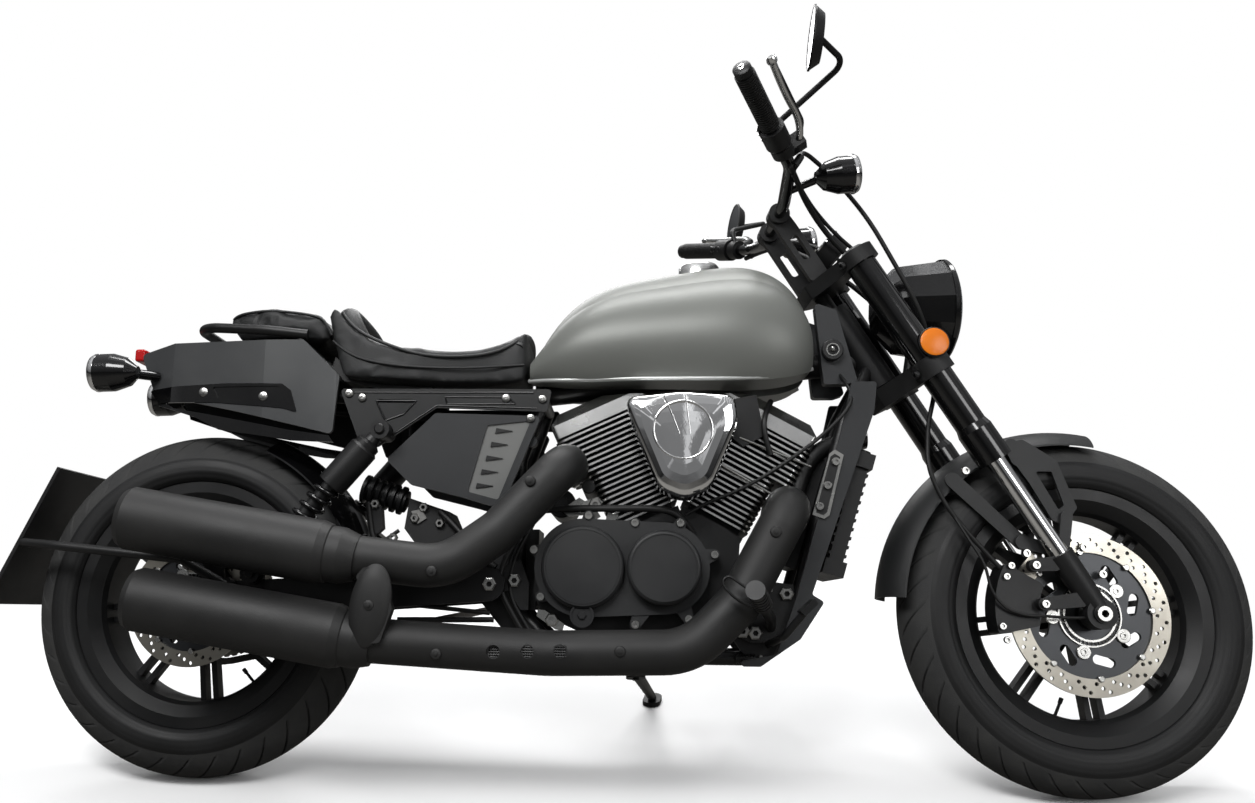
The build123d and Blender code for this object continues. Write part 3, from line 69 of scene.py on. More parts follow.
def linked(tree, wires):
    """Joins the nodes of a material, a world or a group by pairs of an output and an input."""
    for start, end in wires:
        tree.links.new(start, end)


FLOOR_HALF, FLOOR_GAP = 40, 0.0015
bm = bmesh.new()
bmesh.ops.create_grid(bm, x_segments=1, y_segments=1, size=FLOOR_HALF)
mesh = as_mesh("floor", bm)
floor = bpy.data.objects.new("floor", mesh)
floor.location.z = -FLOOR_GAP
bpy.context.scene.collection.objects.link(floor)
floor_paint = bpy.data.materials.new("floor_paint")
floor_paint.use_nodes = True
tree = floor_paint.node_tree
shader = tree.nodes["Principled BSDF"]
shader.inputs["Base Color"].default_value = (0.9, 0.9, 0.9, 1)
shader.inputs["Roughness"].default_value = 0.9
shader.inputs["Specular IOR Level"].default_value = 0.1
place = tree.nodes.new("ShaderNodeTexCoord")
length = tree.nodes.new("ShaderNodeVectorMath")
length.operation = "LENGTH"
fade = tree.nodes.new("ShaderNodeMapRange")
fade.interpolation_type = "SMOOTHSTEP"
fade.inputs["From Min"].default_value, fade.inputs["From Max"].default_value = 0.7, 2.0
glow = tree.nodes.new("ShaderNodeEmission")
glow.inputs["Color"].default_value = (1, 1, 1, 1)
dull = tree.nodes.new("ShaderNodeBsdfDiffuse")
dull.inputs["Color"].default_value = (0.16, 0.155, 0.145, 1)
ray = tree.nodes.new("ShaderNodeLightPath")
blend = tree.nodes.new("ShaderNodeMixShader")
chooser = tree.nodes.new("ShaderNodeMixShader")
linked(tree, ((place.outputs["Object"], length.inputs[0]), (length.outputs["Value"], fade.inputs["Value"]),
              (fade.outputs[0], blend.inputs[0]), (shader.outputs[0], blend.inputs[1]),
              (glow.outputs[0], blend.inputs[2]), (ray.outputs["Is Camera Ray"], chooser.inputs[0]),
              (dull.outputs[0], chooser.inputs[1]), (blend.outputs[0], chooser.inputs[2]),
              (chooser.outputs[0], tree.nodes["Material Output"].inputs[0])))
mesh.materials.append(floor_paint)

# The hall that the machine mirrors: a ramp of greys by height, with bands of lamps in the upper part.
world = bpy.data.worlds.new("studio")
bpy.context.scene.world = world
world.use_nodes = True
tree = world.node_tree
ambient = tree.nodes["Background"]
way = tree.nodes.new("ShaderNodeTexCoord")
split = tree.nodes.new("ShaderNodeSeparateXYZ")
height = tree.nodes.new("ShaderNodeValToRGB")
stops = ((0.0, 0.1), (0.49, 0.1), (0.505, 0.012), (0.56, 0.03), (0.6, 0.16), (0.72, 0.2), (1.0, 0.45))
height.color_ramp.elements[1].position = stops[-1][0]
for place, _ in stops[1:-1]:
    height.color_ramp.elements.new(place)
for stop, (place, grey) in zip(height.color_ramp.elements, stops):
    stop.position, stop.color = place, (grey, grey * 1.01, grey * 1.03, 1)
halve = tree.nodes.new("ShaderNodeMath")
halve.operation = "MULTIPLY_ADD"
halve.inputs[1].default_value, halve.inputs[2].default_value = 0.5, 0.5
rows = tree.nodes.new("ShaderNodeTexWave")
rows.wave_type, rows.bands_direction = "BANDS", "X"
rows.inputs["Scale"].default_value, rows.inputs["Distortion"].default_value = 2.6, 0
strip = tree.nodes.new("ShaderNodeMapRange")
strip.inputs["From Min"].default_value, strip.inputs["From Max"].default_value = 0.86, 0.95
strip.inputs["To Max"].default_value = 2.2
above = tree.nodes.new("ShaderNodeMapRange")
above.inputs["From Min"].default_value, above.inputs["From Max"].default_value = 0.3, 0.38
lamps = tree.nodes.new("ShaderNodeMath")
lamps.operation = "MULTIPLY"
sum_up = tree.nodes.new("ShaderNodeMath")
sum_up.operation = "ADD"
sum_up.inputs[1].default_value = 1
white = tree.nodes.new("ShaderNodeBackground")
white.inputs["Color"].default_value = (1, 1, 1, 1)
ray = tree.nodes.new("ShaderNodeLightPath")
chooser = tree.nodes.new("ShaderNodeMixShader")
linked(tree, ((way.outputs["Generated"], split.inputs[0]), (split.outputs["Z"], halve.inputs[0]),
              (halve.outputs[0], height.inputs[0]), (way.outputs["Generated"], rows.inputs["Vector"]),
              (rows.outputs["Fac"], strip.inputs["Value"]), (split.outputs["Z"], above.inputs["Value"]),
              (strip.outputs[0], lamps.inputs[0]), (above.outputs[0], lamps.inputs[1]),
              (lamps.outputs[0], sum_up.inputs[0]), (height.outputs[0], ambient.inputs["Color"]),
              (sum_up.outputs[0], ambient.inputs["Strength"]),
              (ray.outputs["Is Camera Ray"], chooser.inputs[0]), (ambient.outputs[0], chooser.inputs[1]),
              (white.outputs[0], chooser.inputs[2]),
              (chooser.outputs[0], tree.nodes["World Output"].inputs[0])))
bpy.context.scene.view_settings.view_transform = "Standard"
for name, place, aim, power, width, depth in (
        ("key_light", (-1.0, -2.2, 3.2), (0.0, -0.1, 0.5), 105, 2.4, 0.9),
        ("fill_light", (2.4, -2.6, 2.0), (0.3, -0.1, 0.5), 34, 1.2, 1.6),
        ("ridge_light", (0.1, 0.9, 3.2), (0.1, -0.1, 0.7), 80, 2.6, 0.7),
        ("left_light", (-0.6, 3.4, 2.3), (0.0, 0.1, 0.5), 45, 2.2, 1.4)):
    lamp = bpy.data.objects.new(name, bpy.data.lights.new(name, "AREA"))
    lamp.data.shape, lamp.data.size, lamp.data.size_y, lamp.data.energy = "RECTANGLE", width, depth, power
    lamp.location = place
    lamp.rotation_euler = (Vector(aim) - Vector(place)).to_track_quat("-Z", "Y").to_euler()
    bpy.context.scene.collection.objects.link(lamp)

# ---- Stance: the machine's own frames, in millimetres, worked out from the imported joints.
# BIKE is upright, +X forward and +Y left from the ground under the rear axle; FORK is (ahead, left, up).
# STEERED is BIKE as the front wheel stands, for what is drawn upright but turns with the fork.
MM, RAKE = 0.001, radians(31)
REAR_AXLE_H, WHEELBASE, FRONT_AXLE_H, TRAIL = 306, 1530, 299, 118
joints = {joint["name"]: joint for joint in frame["record"]["behaviour"]["joints"]}
steer_way = Vector(joints["steering_head"]["axis"]).normalized()


def frame_axes(across):
    """Ahead, across and up of the fork, and forward and up of the wheels, for an axle's direction."""
    across = Vector(across).normalized()
    ahead = across.cross(steer_way).normalized()
    forward = ahead * cos(RAKE) - steer_way * sin(RAKE)
    return ahead, across, forward, ahead * sin(RAKE) + steer_way * cos(RAKE)


def placed(x_way, y_way, z_way, origin):
    """A matrix from millimetres along three directions to the row's metres."""
    turn = Matrix((x_way, y_way, z_way)).transposed().to_4x4()
    return Matrix.Translation(origin) @ turn @ Matrix.Scale(MM, 4)


rear_centre = Vector(joints["rear_wheel_spin"]["pos_m"])
front_centre = Vector(joints["front_wheel_spin"]["pos_m"])
_, across, forward, rise = frame_axes(joints["rear_wheel_spin"]["axis"])
REAR_WHEEL = placed(forward, across, rise, rear_centre)
BIKE = placed(forward, across, rise, rear_centre - rise * REAR_AXLE_H * MM)
ahead, across, forward, rise = frame_axes(joints["front_wheel_spin"]["axis"])
FRONT_WHEEL = placed(forward, across, rise, front_centre)
axle_ahead = FRONT_AXLE_H * sin(RAKE) - TRAIL * cos(RAKE)
axle_up = FRONT_AXLE_H * cos(RAKE) + TRAIL * sin(RAKE)
FORK = placed(ahead, across, steer_way, front_centre - (ahead * axle_ahead + steer_way * axle_up) * MM)
STEERED = placed(forward, across, rise, front_centre - (forward * WHEELBASE + rise * FRONT_AXLE_H) * MM)

# ---- Frame, swing arm, stand and clamps: welded steel tube and castings under black powder coat.
# The coat is satin, with a fine orange peel and slightly rubbed patches.
def surface_relief():
    """Broad patches of colour and roughness, and a fine relief, all by position."""
    tree = bpy.data.node_groups.new("surface_relief", "ShaderNodeTree")
    sockets = tree.interface
    for label, kind in (("Colour", "NodeSocketColor"), ("Worn Colour", "NodeSocketColor"),
                        ("Patch Scale", "NodeSocketFloat"), ("Smooth", "NodeSocketFloat"),
                        ("Rough", "NodeSocketFloat"), ("Grain Scale", "NodeSocketFloat"),
                        ("Grain Depth", "NodeSocketFloat")):
        sockets.new_socket(label, in_out="INPUT", socket_type=kind)
    for label, kind in (("Colour", "NodeSocketColor"), ("Roughness", "NodeSocketFloat"),
                        ("Normal", "NodeSocketVector")):
        sockets.new_socket(label, in_out="OUTPUT", socket_type=kind)
    given, out = tree.nodes.new("NodeGroupInput"), tree.nodes.new("NodeGroupOutput")
    place = tree.nodes.new("ShaderNodeTexCoord")
    patches, grain = tree.nodes.new("ShaderNodeTexNoise"), tree.nodes.new("ShaderNodeTexNoise")
    patches.inputs["Detail"].default_value = 5
    grain.inputs["Detail"].default_value = 3
    spread = tree.nodes.new("ShaderNodeMapRange")
    spread.inputs["From Min"].default_value, spread.inputs["From Max"].default_value = 0.35, 0.7
    colour = tree.nodes.new("ShaderNodeMix")
    colour.data_type = "RGBA"
    rough = tree.nodes.new("ShaderNodeMapRange")
    bump = tree.nodes.new("ShaderNodeBump")
    bump.inputs["Strength"].default_value = 1.0
    linked(tree, ((place.outputs["Object"], patches.inputs["Vector"]),
                  (place.outputs["Object"], grain.inputs["Vector"]),
                  (given.outputs["Patch Scale"], patches.inputs["Scale"]),
                  (given.outputs["Grain Scale"], grain.inputs["Scale"]),
                  (patches.outputs["Fac"], spread.inputs["Value"]),
                  (spread.outputs[0], colour.inputs["Factor"]),
                  (given.outputs["Colour"], colour.inputs["A"]),
                  (given.outputs["Worn Colour"], colour.inputs["B"]),
                  (spread.outputs[0], rough.inputs["Value"]),
                  (given.outputs["Smooth"], rough.inputs["To Min"]),
                  (given.outputs["Rough"], rough.inputs["To Max"]),
                  (grain.outputs["Fac"], bump.inputs["Height"]),
                  (given.outputs["Grain Depth"], bump.inputs["Distance"]),
                  (colour.outputs["Result"], out.inputs["Colour"]),
                  (rough.outputs[0], out.inputs["Roughness"]), (bump.outputs[0], out.inputs["Normal"])))
    return tree


RELIEF = surface_relief()


def coated(name, colour, worn, smooth, rough, metallic=0.0, patch=9, grain=900, depth=0.0001, **sockets):
    """A material whose patches, roughness and relief come from the shared relief group."""
    made = bpy.data.materials.new(name)
    made.use_nodes = True
    tree = made.node_tree
    shader = tree.nodes["Principled BSDF"]
    relief = tree.nodes.new("ShaderNodeGroup")
    relief.node_tree = RELIEF
    relief.inputs["Colour"].default_value = (*colour, 1)
    relief.inputs["Worn Colour"].default_value = (*worn, 1)
    for label, value in (("Patch Scale", patch), ("Smooth", smooth), ("Rough", rough),
                         ("Grain Scale", grain), ("Grain Depth", depth)):
        relief.inputs[label].default_value = value
    for out, label in (("Colour", "Base Color"), ("Roughness", "Roughness"), ("Normal", "Normal")):
        tree.links.new(relief.outputs[out], shader.inputs[label])
    shader.inputs["Metallic"].default_value = metallic
    shader.inputs["Specular IOR Level"].default_value = 0.35
    for label, value in sockets.items():
        shader.inputs[label.replace("_", " ")].default_value = value
    return made


def dress(material, *nodes):
    """Gives CAD pieces their finish."""
    for node in nodes:
        mesh = frame["nodes"][node].data
        if not mesh.materials:
            mesh.materials.append(material)
        for index in range(len(mesh.materials)):
            mesh.materials[index] = material


def added(name, bm, place, body, materials, sharp=38):
    """A new piece drawn in millimetres, put in its place and given to its body."""
    bmesh.ops.recalc_face_normals(bm, faces=bm.faces)
    bmesh.ops.transform(bm, matrix=place, verts=bm.verts)
    mesh = as_mesh(name, bm)
    mesh.shade_smooth()
    mesh.set_sharp_from_angle(angle=radians(sharp))
    for material in materials if isinstance(materials, (list, tuple)) else [materials]:
        mesh.materials.append(material)
    piece = bpy.data.objects.new(name, mesh)
    bpy.context.scene.collection.objects.link(piece)
    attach(piece, body)
    return piece


powder_black = coated("powder_black", (0.0042, 0.0042, 0.0045), (0.0072, 0.0072, 0.0075), 0.32, 0.45,
                      grain=1400)
dress(powder_black, "main_frame", "swing_arm", "side_stand", "foot_controls", "grab_rail")

# ---- Tyres: black road tyres with long slanted grooves, which run the other way on the rear one.
# The dusty tread is greyer than the walls, and thin ribs ring the walls.
def arc_points(a, b, c, steps):
    """Points on the circle through three points of a plane, from the first to the last."""
    a, b, c = Vector(a), Vector(b), Vector(c)
    ab, ac = b - a, c - a
    twice = 2 * (ab.x * ac.y - ab.y * ac.x)
    centre = a + Vector((ac.y * ab.length_squared - ab.y * ac.length_squared,
                         ab.x * ac.length_squared - ac.x * ab.length_squared)) / twice
    first = atan2((a - centre).y, (a - centre).x)
    turns = []
    for point in (b, c):
        turn = (atan2((point - centre).y, (point - centre).x) - first) % (2 * pi)
        turns.append(turn)
    sweep = turns[1] if turns[0] < turns[1] else turns[1] - 2 * pi
    size = (a - centre).length
    return [centre + size * Vector((cos(first + sweep * n / steps), sin(first + sweep * n / steps)))
            for n in range(steps + 1)]


def road_tyre(name, node, body, place, radius, half, crown, rim_half, grooves, slant):
    """A tyre whose mesh slants with its grooves, sunk between the columns that bound them."""
    flange, bead, edge_angle = 216, 203, radians(70)
    per_groove, deep, half_tread = 9, 5, 9
    wall_ribs, rib_proud = (3, 6, 12), 1.1
    edge_y, edge_r = crown * sin(edge_angle), radius - crown + crown * cos(edge_angle)
    wall_r = (edge_r + flange) / 2 + 6
    wall = arc_points((rim_half + 1, flange + 1), (half, wall_r), (edge_y, edge_r), 14)
    for index in wall_ribs:
        wall[index] += (wall[index] - Vector((rim_half - 20, wall_r))).normalized() * rib_proud
    tread = [Vector((crown * sin(angle), radius - crown + crown * cos(angle)))
             for angle in (edge_angle * (1 - step / half_tread) for step in range(2 * half_tread + 1))]
    tread[0] += Vector((0.8, 0.6))
    tread[-1] += Vector((-0.8, 0.6))
    left = [Vector((rim_half - 8.5, bead + 0.5)), Vector((rim_half - 8.5, flange + 1))] + wall[:-1]
    profile = left + tread + [Vector((-point.x, point.y)) for point in reversed(left)]
    first, last = len(left), len(left) + 2 * half_tread
    bm = bmesh.new()
    around = grooves * per_groove
    rings = []
    for index, point in enumerate(profile):
        reach = min(max(min(index - first, last - index) / half_tread, 0), 1)
        lag = slant * reach
        ring = []
        for step in range(around):
            angle = 2 * pi * step / around + lag
            ring.append(bm.verts.new((point.y * cos(angle), point.x, point.y * sin(angle))))
        rings.append(ring)
    sunk = []
    for index, (ring, after) in enumerate(zip(rings, rings[1:] + rings[:1])):
        for step in range(around):
            face = bm.faces.new((ring[step], after[step], after[step - 1], ring[step - 1]))
            face.material_index = 1 if first <= index < last else 0
            on_left, on_right = first + 1 <= index <= first + 7, last - 8 <= index <= last - 2
            if on_left and step % per_groove == 0 or on_right and step % per_groove == per_groove // 2:
                sunk.append(face)
    pushed = bmesh.ops.extrude_face_region(bm, geom=sunk)
    for part in pushed["geom"]:
        if isinstance(part, bmesh.types.BMFace):
            part.material_index = 0
        if isinstance(part, bmesh.types.BMVert):
            size = hypot(part.co.x, part.co.z)
            part.co.x, part.co.z = part.co.x * (1 - deep / size), part.co.z * (1 - deep / size)
    bmesh.ops.delete(bm, geom=sunk, context="FACES")
    piece = added(name, bm, place, body, [tyre_wall, tyre_tread], 50)
    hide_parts(node)


tyre_wall = coated("tyre_wall", (0.0055, 0.0056, 0.0058), (0.0085, 0.0086, 0.009), 0.5, 0.66,
                   grain=900, depth=0.0003)
tyre_tread = coated("tyre_tread", (0.024, 0.0242, 0.0245), (0.037, 0.037, 0.036), 0.72, 0.86,
                    patch=24, grain=700, depth=0.0006)
road_tyre("front_road_tyre", "front_tyre", "front_wheel", FRONT_WHEEL, 299, 60, 58, 48, 38, 0.26)
road_tyre("rear_road_tyre", "rear_tyre", "rear_wheel", REAR_WHEEL, 306, 75, 72, 62, 36, -0.26)

# ---- Wheels: cast rims in fine black coat, drilled steel discs on dark slotted carriers.
# The screws that hold the discs are bright, and each rim has its valve.
RIGHT, LEFT = (0, -1, 0), (0, 1, 0)


def lathe(points, steps=24):
    """A mesh turned about Z from (radius, height) points, used as it is or stamped many times."""
    bm = bmesh.new()
    verts = [bm.verts.new((radius, 0, height)) for radius, height in points]
    edges = [bm.edges.new(pair) for pair in zip(verts, verts[1:])]
    bmesh.ops.spin(bm, geom=verts + edges, axis=(0, 0, 1), cent=(0, 0, 0), angle=2 * pi, steps=steps,
                   use_merge=True)
    bmesh.ops.remove_doubles(bm, verts=bm.verts, dist=0.001)
    return as_mesh("turned", bm)


def stamp(bm, mesh, place):
    """A copy of a mesh inside a growing one."""
    count = len(bm.verts)
    bm.from_mesh(mesh)
    bm.verts.ensure_lookup_table()
    bmesh.ops.transform(bm, matrix=place, verts=bm.verts[count:])


def facing(point, way):
    """The place of a turned shape at a point, with its Z along a direction."""
    return Matrix.Translation(point) @ Vector(way).to_track_quat("Z", "Y").to_matrix().to_4x4()


def turned_at(mesh, points, way):
    """A new bmesh with a turned shape at each point, all with their Z along one direction."""
    bm = bmesh.new()
    for point in points:
        stamp(bm, mesh, facing(point, way))
    return bm


def pull(bm, points, y, length):
    """A bar across the machine: the outline of its (x, z) points at y, pulled towards the left."""
    face = bm.faces.new([bm.verts.new((x, y, z)) for x, z in points])
    pulled = bmesh.ops.extrude_face_region(bm, geom=[face])
    bmesh.ops.translate(bm, verts=[v for v in pulled["geom"] if isinstance(v, bmesh.types.BMVert)],
                        vec=(0, length, 0))


def socket_screw(radius, height):
    """A cap screw with its recess, standing on z = 0."""
    depth = height * 0.55
    return lathe([(0, height - depth), (radius * 0.5, height - depth), (radius * 0.5, height),
                  (radius * 0.9, height), (radius, height * 0.85), (radius, 0), (0, 0)], 12)


def ring_plate(outer, inner, low, high, steps=96):
    """A flat ring about Y."""
    mesh = lathe([(inner, low), (outer, low), (outer, high), (inner, high), (inner, low)], steps)
    bm = bmesh.new()
    stamp(bm, mesh, Matrix.Rotation(-pi / 2, 4, "X"))
    return bm


def applied(piece):
    """The mesh that a piece's curve or modifiers give."""
    return bpy.data.meshes.new_from_object(piece.evaluated_get(bpy.context.evaluated_depsgraph_get()))


def cut(piece, bm, place, material):
    """Takes cutters drawn in millimetres out of a piece, and applies it."""
    bmesh.ops.transform(bm, matrix=place, verts=bm.verts)
    cutter_mesh = as_mesh("cutters", bm)
    cutter = bpy.data.objects.new("cutter", cutter_mesh)
    cutter_mesh.materials.append(material)
    bpy.context.scene.collection.objects.link(cutter)
    hole = piece.modifiers.new("cut", "BOOLEAN")
    hole.object, hole.operation, hole.solver = cutter, "DIFFERENCE", "EXACT"
    bpy.context.view_layer.update()
    mesh = applied(piece)
    piece.modifiers.clear()
    old, piece.data = piece.data, mesh
    mesh.name = old.name
    bpy.data.meshes.remove(old)
    bpy.data.objects.remove(cutter)


def brake_disc(name, node, body, place, outer, inner, disc_y, hub_y, groups):
    """A drilled ring on a slotted carrier, with the carrier's screws, bosses and sensor ring."""
    half_thick, slot_count, screw_count, tooth_count, button_count = 2.5, 8, 5, 48, 8
    ring = added(name + "_ring", ring_plate(outer, inner, disc_y - half_thick, disc_y + half_thick), place,
                 body, disc_steel)
    bm = bmesh.new()
    pin = lathe([(0, -8), (3.4, -8), (3.4, 8), (0, 8)], 10)
    for step in range(groups * 3):
        angle = 2 * pi * step / (groups * 3)
        size = inner + (outer - inner) * (0.26 + 0.24 * (step % 3))
        stamp(bm, pin, facing((size * cos(angle), disc_y, size * sin(angle)), LEFT))
    bmesh.ops.recalc_face_normals(bm, faces=bm.faces)
    cut(ring, bm, place, disc_steel)
    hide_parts(node)
    carrier = added(name + "_carrier", ring_plate(inner + 2, 24, disc_y + 1.5, hub_y), place, body,
                    carrier_grey)
    slot = bmesh.new()
    turns = [2 * pi * step / 24 for step in range(24)]
    rounded = [(8 * cos(angle), 8 * sin(angle) + (11 if sin(angle) > 0 else -11)) for angle in turns]
    pull(slot, rounded, -30, 60)
    bmesh.ops.recalc_face_normals(slot, faces=slot.faces)
    slot_mesh = as_mesh("slot", slot)
    bm = bmesh.new()
    for step in range(slot_count):
        angle = 2 * pi * (step + 0.3) / slot_count
        reach = inner * 0.74
        turn = Matrix.Rotation(-angle + 0.5, 4, "Y")
        stamp(bm, slot_mesh, Matrix.Translation((reach * cos(angle), disc_y, reach * sin(angle))) @ turn)
    cut(carrier, bm, place, carrier_grey)
    bm = bmesh.new()
    screw = socket_screw(6.5, 5)
    boss = lathe([(6, 0), (12, 0), (12, 3), (11, 4), (6, 4)], 20)
    teeth = lathe([(0, 0), (1.1, 0), (1.1, 7), (0, 7)], 4)
    for step in range(screw_count):
        angle = 2 * pi * (step + 0.55) / screw_count
        seat = facing((inner * 0.6 * cos(angle), disc_y + 1.5, inner * 0.6 * sin(angle)), RIGHT)
        stamp(bm, screw, seat)
        stamp(bm, boss, seat)
    for step in range(tooth_count):
        angle = 2 * pi * step / tooth_count
        outward = Vector((cos(angle), 0, sin(angle)))
        stamp(bm, teeth, facing(outward * 44 + Vector((0, disc_y - 0.5, 0)), outward))
    for low, high in ((41, 44.5), (50.5, 53)):
        hoop = lathe([(low, -1.5), (high, -1.5), (high, 1.5), (low, 1.5), (low, -1.5)], 64)
        stamp(bm, hoop, facing((0, disc_y - 0.5, 0), RIGHT))
    button = lathe([(0, 3.4), (4, 3.4), (5.5, 2), (5.5, 0), (0, 0)], 10)
    for step in range(button_count):
        angle = 2 * pi * (step + 0.1) / button_count
        stamp(bm, button, facing((inner * cos(angle), disc_y - half_thick, inner * sin(angle)), RIGHT))
    added(name + "_screws", bm, place, body, bright_zinc)


cast_black = coated("cast_black", (0.0048, 0.00495, 0.00525), (0.0078, 0.0078, 0.0081), 0.36, 0.52,
                    grain=1100, depth=0.0002)
dress(cast_black, "fork_clamps", "axle_holders", "riser_plates", "front_caliper", "rear_caliper", "front_rim",
      "rear_rim")
carrier_grey = coated("carrier_grey", (0.05, 0.052, 0.056), (0.065, 0.067, 0.07), 0.3, 0.42,
                      metallic=0.7, grain=1800, depth=0.00005)
disc_steel = coated("disc_steel", (0.42, 0.4, 0.35), (0.34, 0.32, 0.28), 0.28, 0.4,
                    metallic=1.0, grain=2000, depth=0.00005)
dress(disc_steel, "rear_sprocket")
bright_zinc = coated("bright_zinc", (0.46, 0.46, 0.445), (0.38, 0.375, 0.36), 0.2, 0.32,
                     metallic=1.0, grain=1500, depth=0.00005)
brake_disc("front_brake", "front_disc", "front_wheel", FRONT_WHEEL, 134, 104, -64, -56, 24)
brake_disc("rear_brake", "rear_disc", "rear_wheel", REAR_WHEEL, 111, 84, -76, -67, 18)

valve = lathe([(0, 0), (5, 0), (5, 4), (2.6, 6), (2.6, 26), (3.6, 27), (3.6, 36), (0, 37)], 12)
VALVE_R, VALVE_Y = 176, -14
for body, place, angle in (("front_wheel", FRONT_WHEEL, -107), ("rear_wheel", REAR_WHEEL, -54)):
    bm = bmesh.new()
    inward = Vector((-cos(radians(angle)), 0.0, -sin(radians(angle))))
    stamp(bm, valve, facing(Vector((0, VALVE_Y, 0)) - inward * VALVE_R, inward + Vector((0, -0.35, 0))))
    added(body + "_valve", bm, place, body, cast_black)

# ---- Engine: black castings; the cooling fins keep bright machined edges under polished covers.
# Bright socket screws hold the side covers, and a breather hose runs across the foot of the V.
def copied(name, node, sort, materials):
    """A copy of a CAD piece whose faces get their materials from sort(centre, normal) in BIKE millimetres."""
    source = frame["nodes"][node]
    bm = bmesh.new()
    bm.from_mesh(source.data)
    bmesh.ops.remove_doubles(bm, verts=bm.verts, dist=0.00001)
    inverse = BIKE.inverted()
    turn = inverse.to_3x3().normalized()
    for face in bm.faces:
        face.material_index = sort(inverse @ face.calc_center_median(), turn @ face.normal)
    mesh = as_mesh(name, bm)
    if "custom_normal" in mesh.attributes:
        mesh.attributes.remove(mesh.attributes["custom_normal"])
    mesh.shade_smooth()
    mesh.set_sharp_from_angle(angle=radians(30))
    for material in materials:
        mesh.materials.append(material)
    piece = bpy.data.objects.new(name, mesh)
    bpy.context.scene.collection.objects.link(piece)
    bodies = frame["record"]["behaviour"]["bodies"]
    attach(piece, [body for body, names in bodies.items() if node in names][0])
    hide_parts(node)


CRANK_X, CRANK_Z = 852, 342
BANKS = (-24, 29)


def fin_edge(centre, normal):
    """1 on the outer edges of the fins, 0 elsewhere."""
    lean = radians(BANKS[0] if centre.x < CRANK_X else BANKS[1])
    along = (centre.x - CRANK_X) * cos(lean) - (centre.z - CRANK_Z) * sin(lean)
    axis = Vector((sin(lean), 0, cos(lean)))
    return 1 if abs(normal.dot(axis)) < 0.3 and (abs(centre.y) > 70 or abs(along) > 55) else 0


fin_black = coated("fin_black", (0.0042, 0.0042, 0.0045), (0.0072, 0.0072, 0.0075), 0.45, 0.6,
                   grain=1200, depth=0.0002)
polished_alloy = coated("polished_alloy", (0.78, 0.78, 0.77), (0.66, 0.66, 0.65), 0.2, 0.3,
                        metallic=1.0, grain=1800, depth=0.00005)
copied("finned_cylinders", "cylinders", fin_edge, [fin_black, polished_alloy])
dress(polished_alloy, "head_covers")
dress(cast_black, "crankcase")
cover_black = coated("cover_black", (0.0132, 0.01348, 0.0143), (0.0198, 0.02035, 0.0209), 0.4, 0.52,
                     grain=1600)
dress(cover_black, "engine_covers")

bm = bmesh.new()
cover_screw = socket_screw(7, 6)
COVER_Y, LEFT_COVER_Y, SCREW_CIRCLE = -126, 112, 74
for x, z in ((702, 458), (780, 446), (856, 446), (912, 394), (868, 288), (780, 278), (610, 400), (622, 322)):
    stamp(bm, cover_screw, facing((x, COVER_Y, z), RIGHT))
for turn in range(6):
    angle = 2 * pi * turn / 6
    x, z = CRANK_X - 10 + SCREW_CIRCLE * cos(angle), CRANK_Z + 12 + SCREW_CIRCLE * sin(angle)
    stamp(bm, cover_screw, facing((x, LEFT_COVER_Y, z), LEFT))
added("cover_screws", bm, BIKE, "frame", bright_zinc)

bm = bmesh.new()
ring = lathe([(17, 0), (20, 0), (20, 3), (17, 3), (17, 0)], 32)
plug = lathe([(0, 4), (6, 4), (8, 2.5), (8, 0), (0, 0)], 6)
stamp(bm, ring, facing((692, -139.5, 292), RIGHT))
stamp(bm, plug, facing((692, -139.5, 292), RIGHT))
for x, z, size in ((693, 371, 62), (828, 371, 54)):
    step = lathe([(size, 0), (size + 2, 0), (size + 2, 1.6), (size, 1.6), (size, 0)], 64)
    stamp(bm, step, facing((x, -145.6 if x < 700 else -153.6, z), RIGHT))
added("cover_rims", bm, BIKE, "frame", cover_black)


def wire(name, points, radius, place, body, material, sides=3):
    """A smooth bent wire, pipe or piping through guide points in millimetres."""
    curve = bpy.data.curves.new(name, "CURVE")
    curve.dimensions = "3D"
    curve.bevel_depth, curve.bevel_resolution, curve.resolution_u = radius, sides, 6
    curve.use_fill_caps = True
    spline = curve.splines.new("NURBS")
    spline.points.add(len(points) - 1)
    for point, at in zip(spline.points, points):
        point.co = (*at, 1)
    spline.order_u, spline.use_endpoint_u = 3, True
    source = bpy.data.objects.new(name + "_curve", curve)
    bpy.context.scene.collection.objects.link(source)
    bpy.context.view_layer.update()
    mesh = applied(source)
    bpy.data.objects.remove(source)
    bm = bmesh.new()
    bm.from_mesh(mesh)
    bmesh.ops.remove_doubles(bm, verts=bm.verts, dist=radius * 0.01)
    return added(name, bm, place, body, material, 60)


rubber_black = coated("rubber_black", (0.0042, 0.0042, 0.0042), (0.007, 0.007, 0.007), 0.42, 0.6,
                      grain=1000, depth=0.0002)
wire("breather_hose", [(600, -96, 468), (654, -114, 471), (734, -118, 471), (820, -116, 472),
                       (856, -110, 462), (878, -92, 432)], 6, BIKE, "frame", rubber_black)

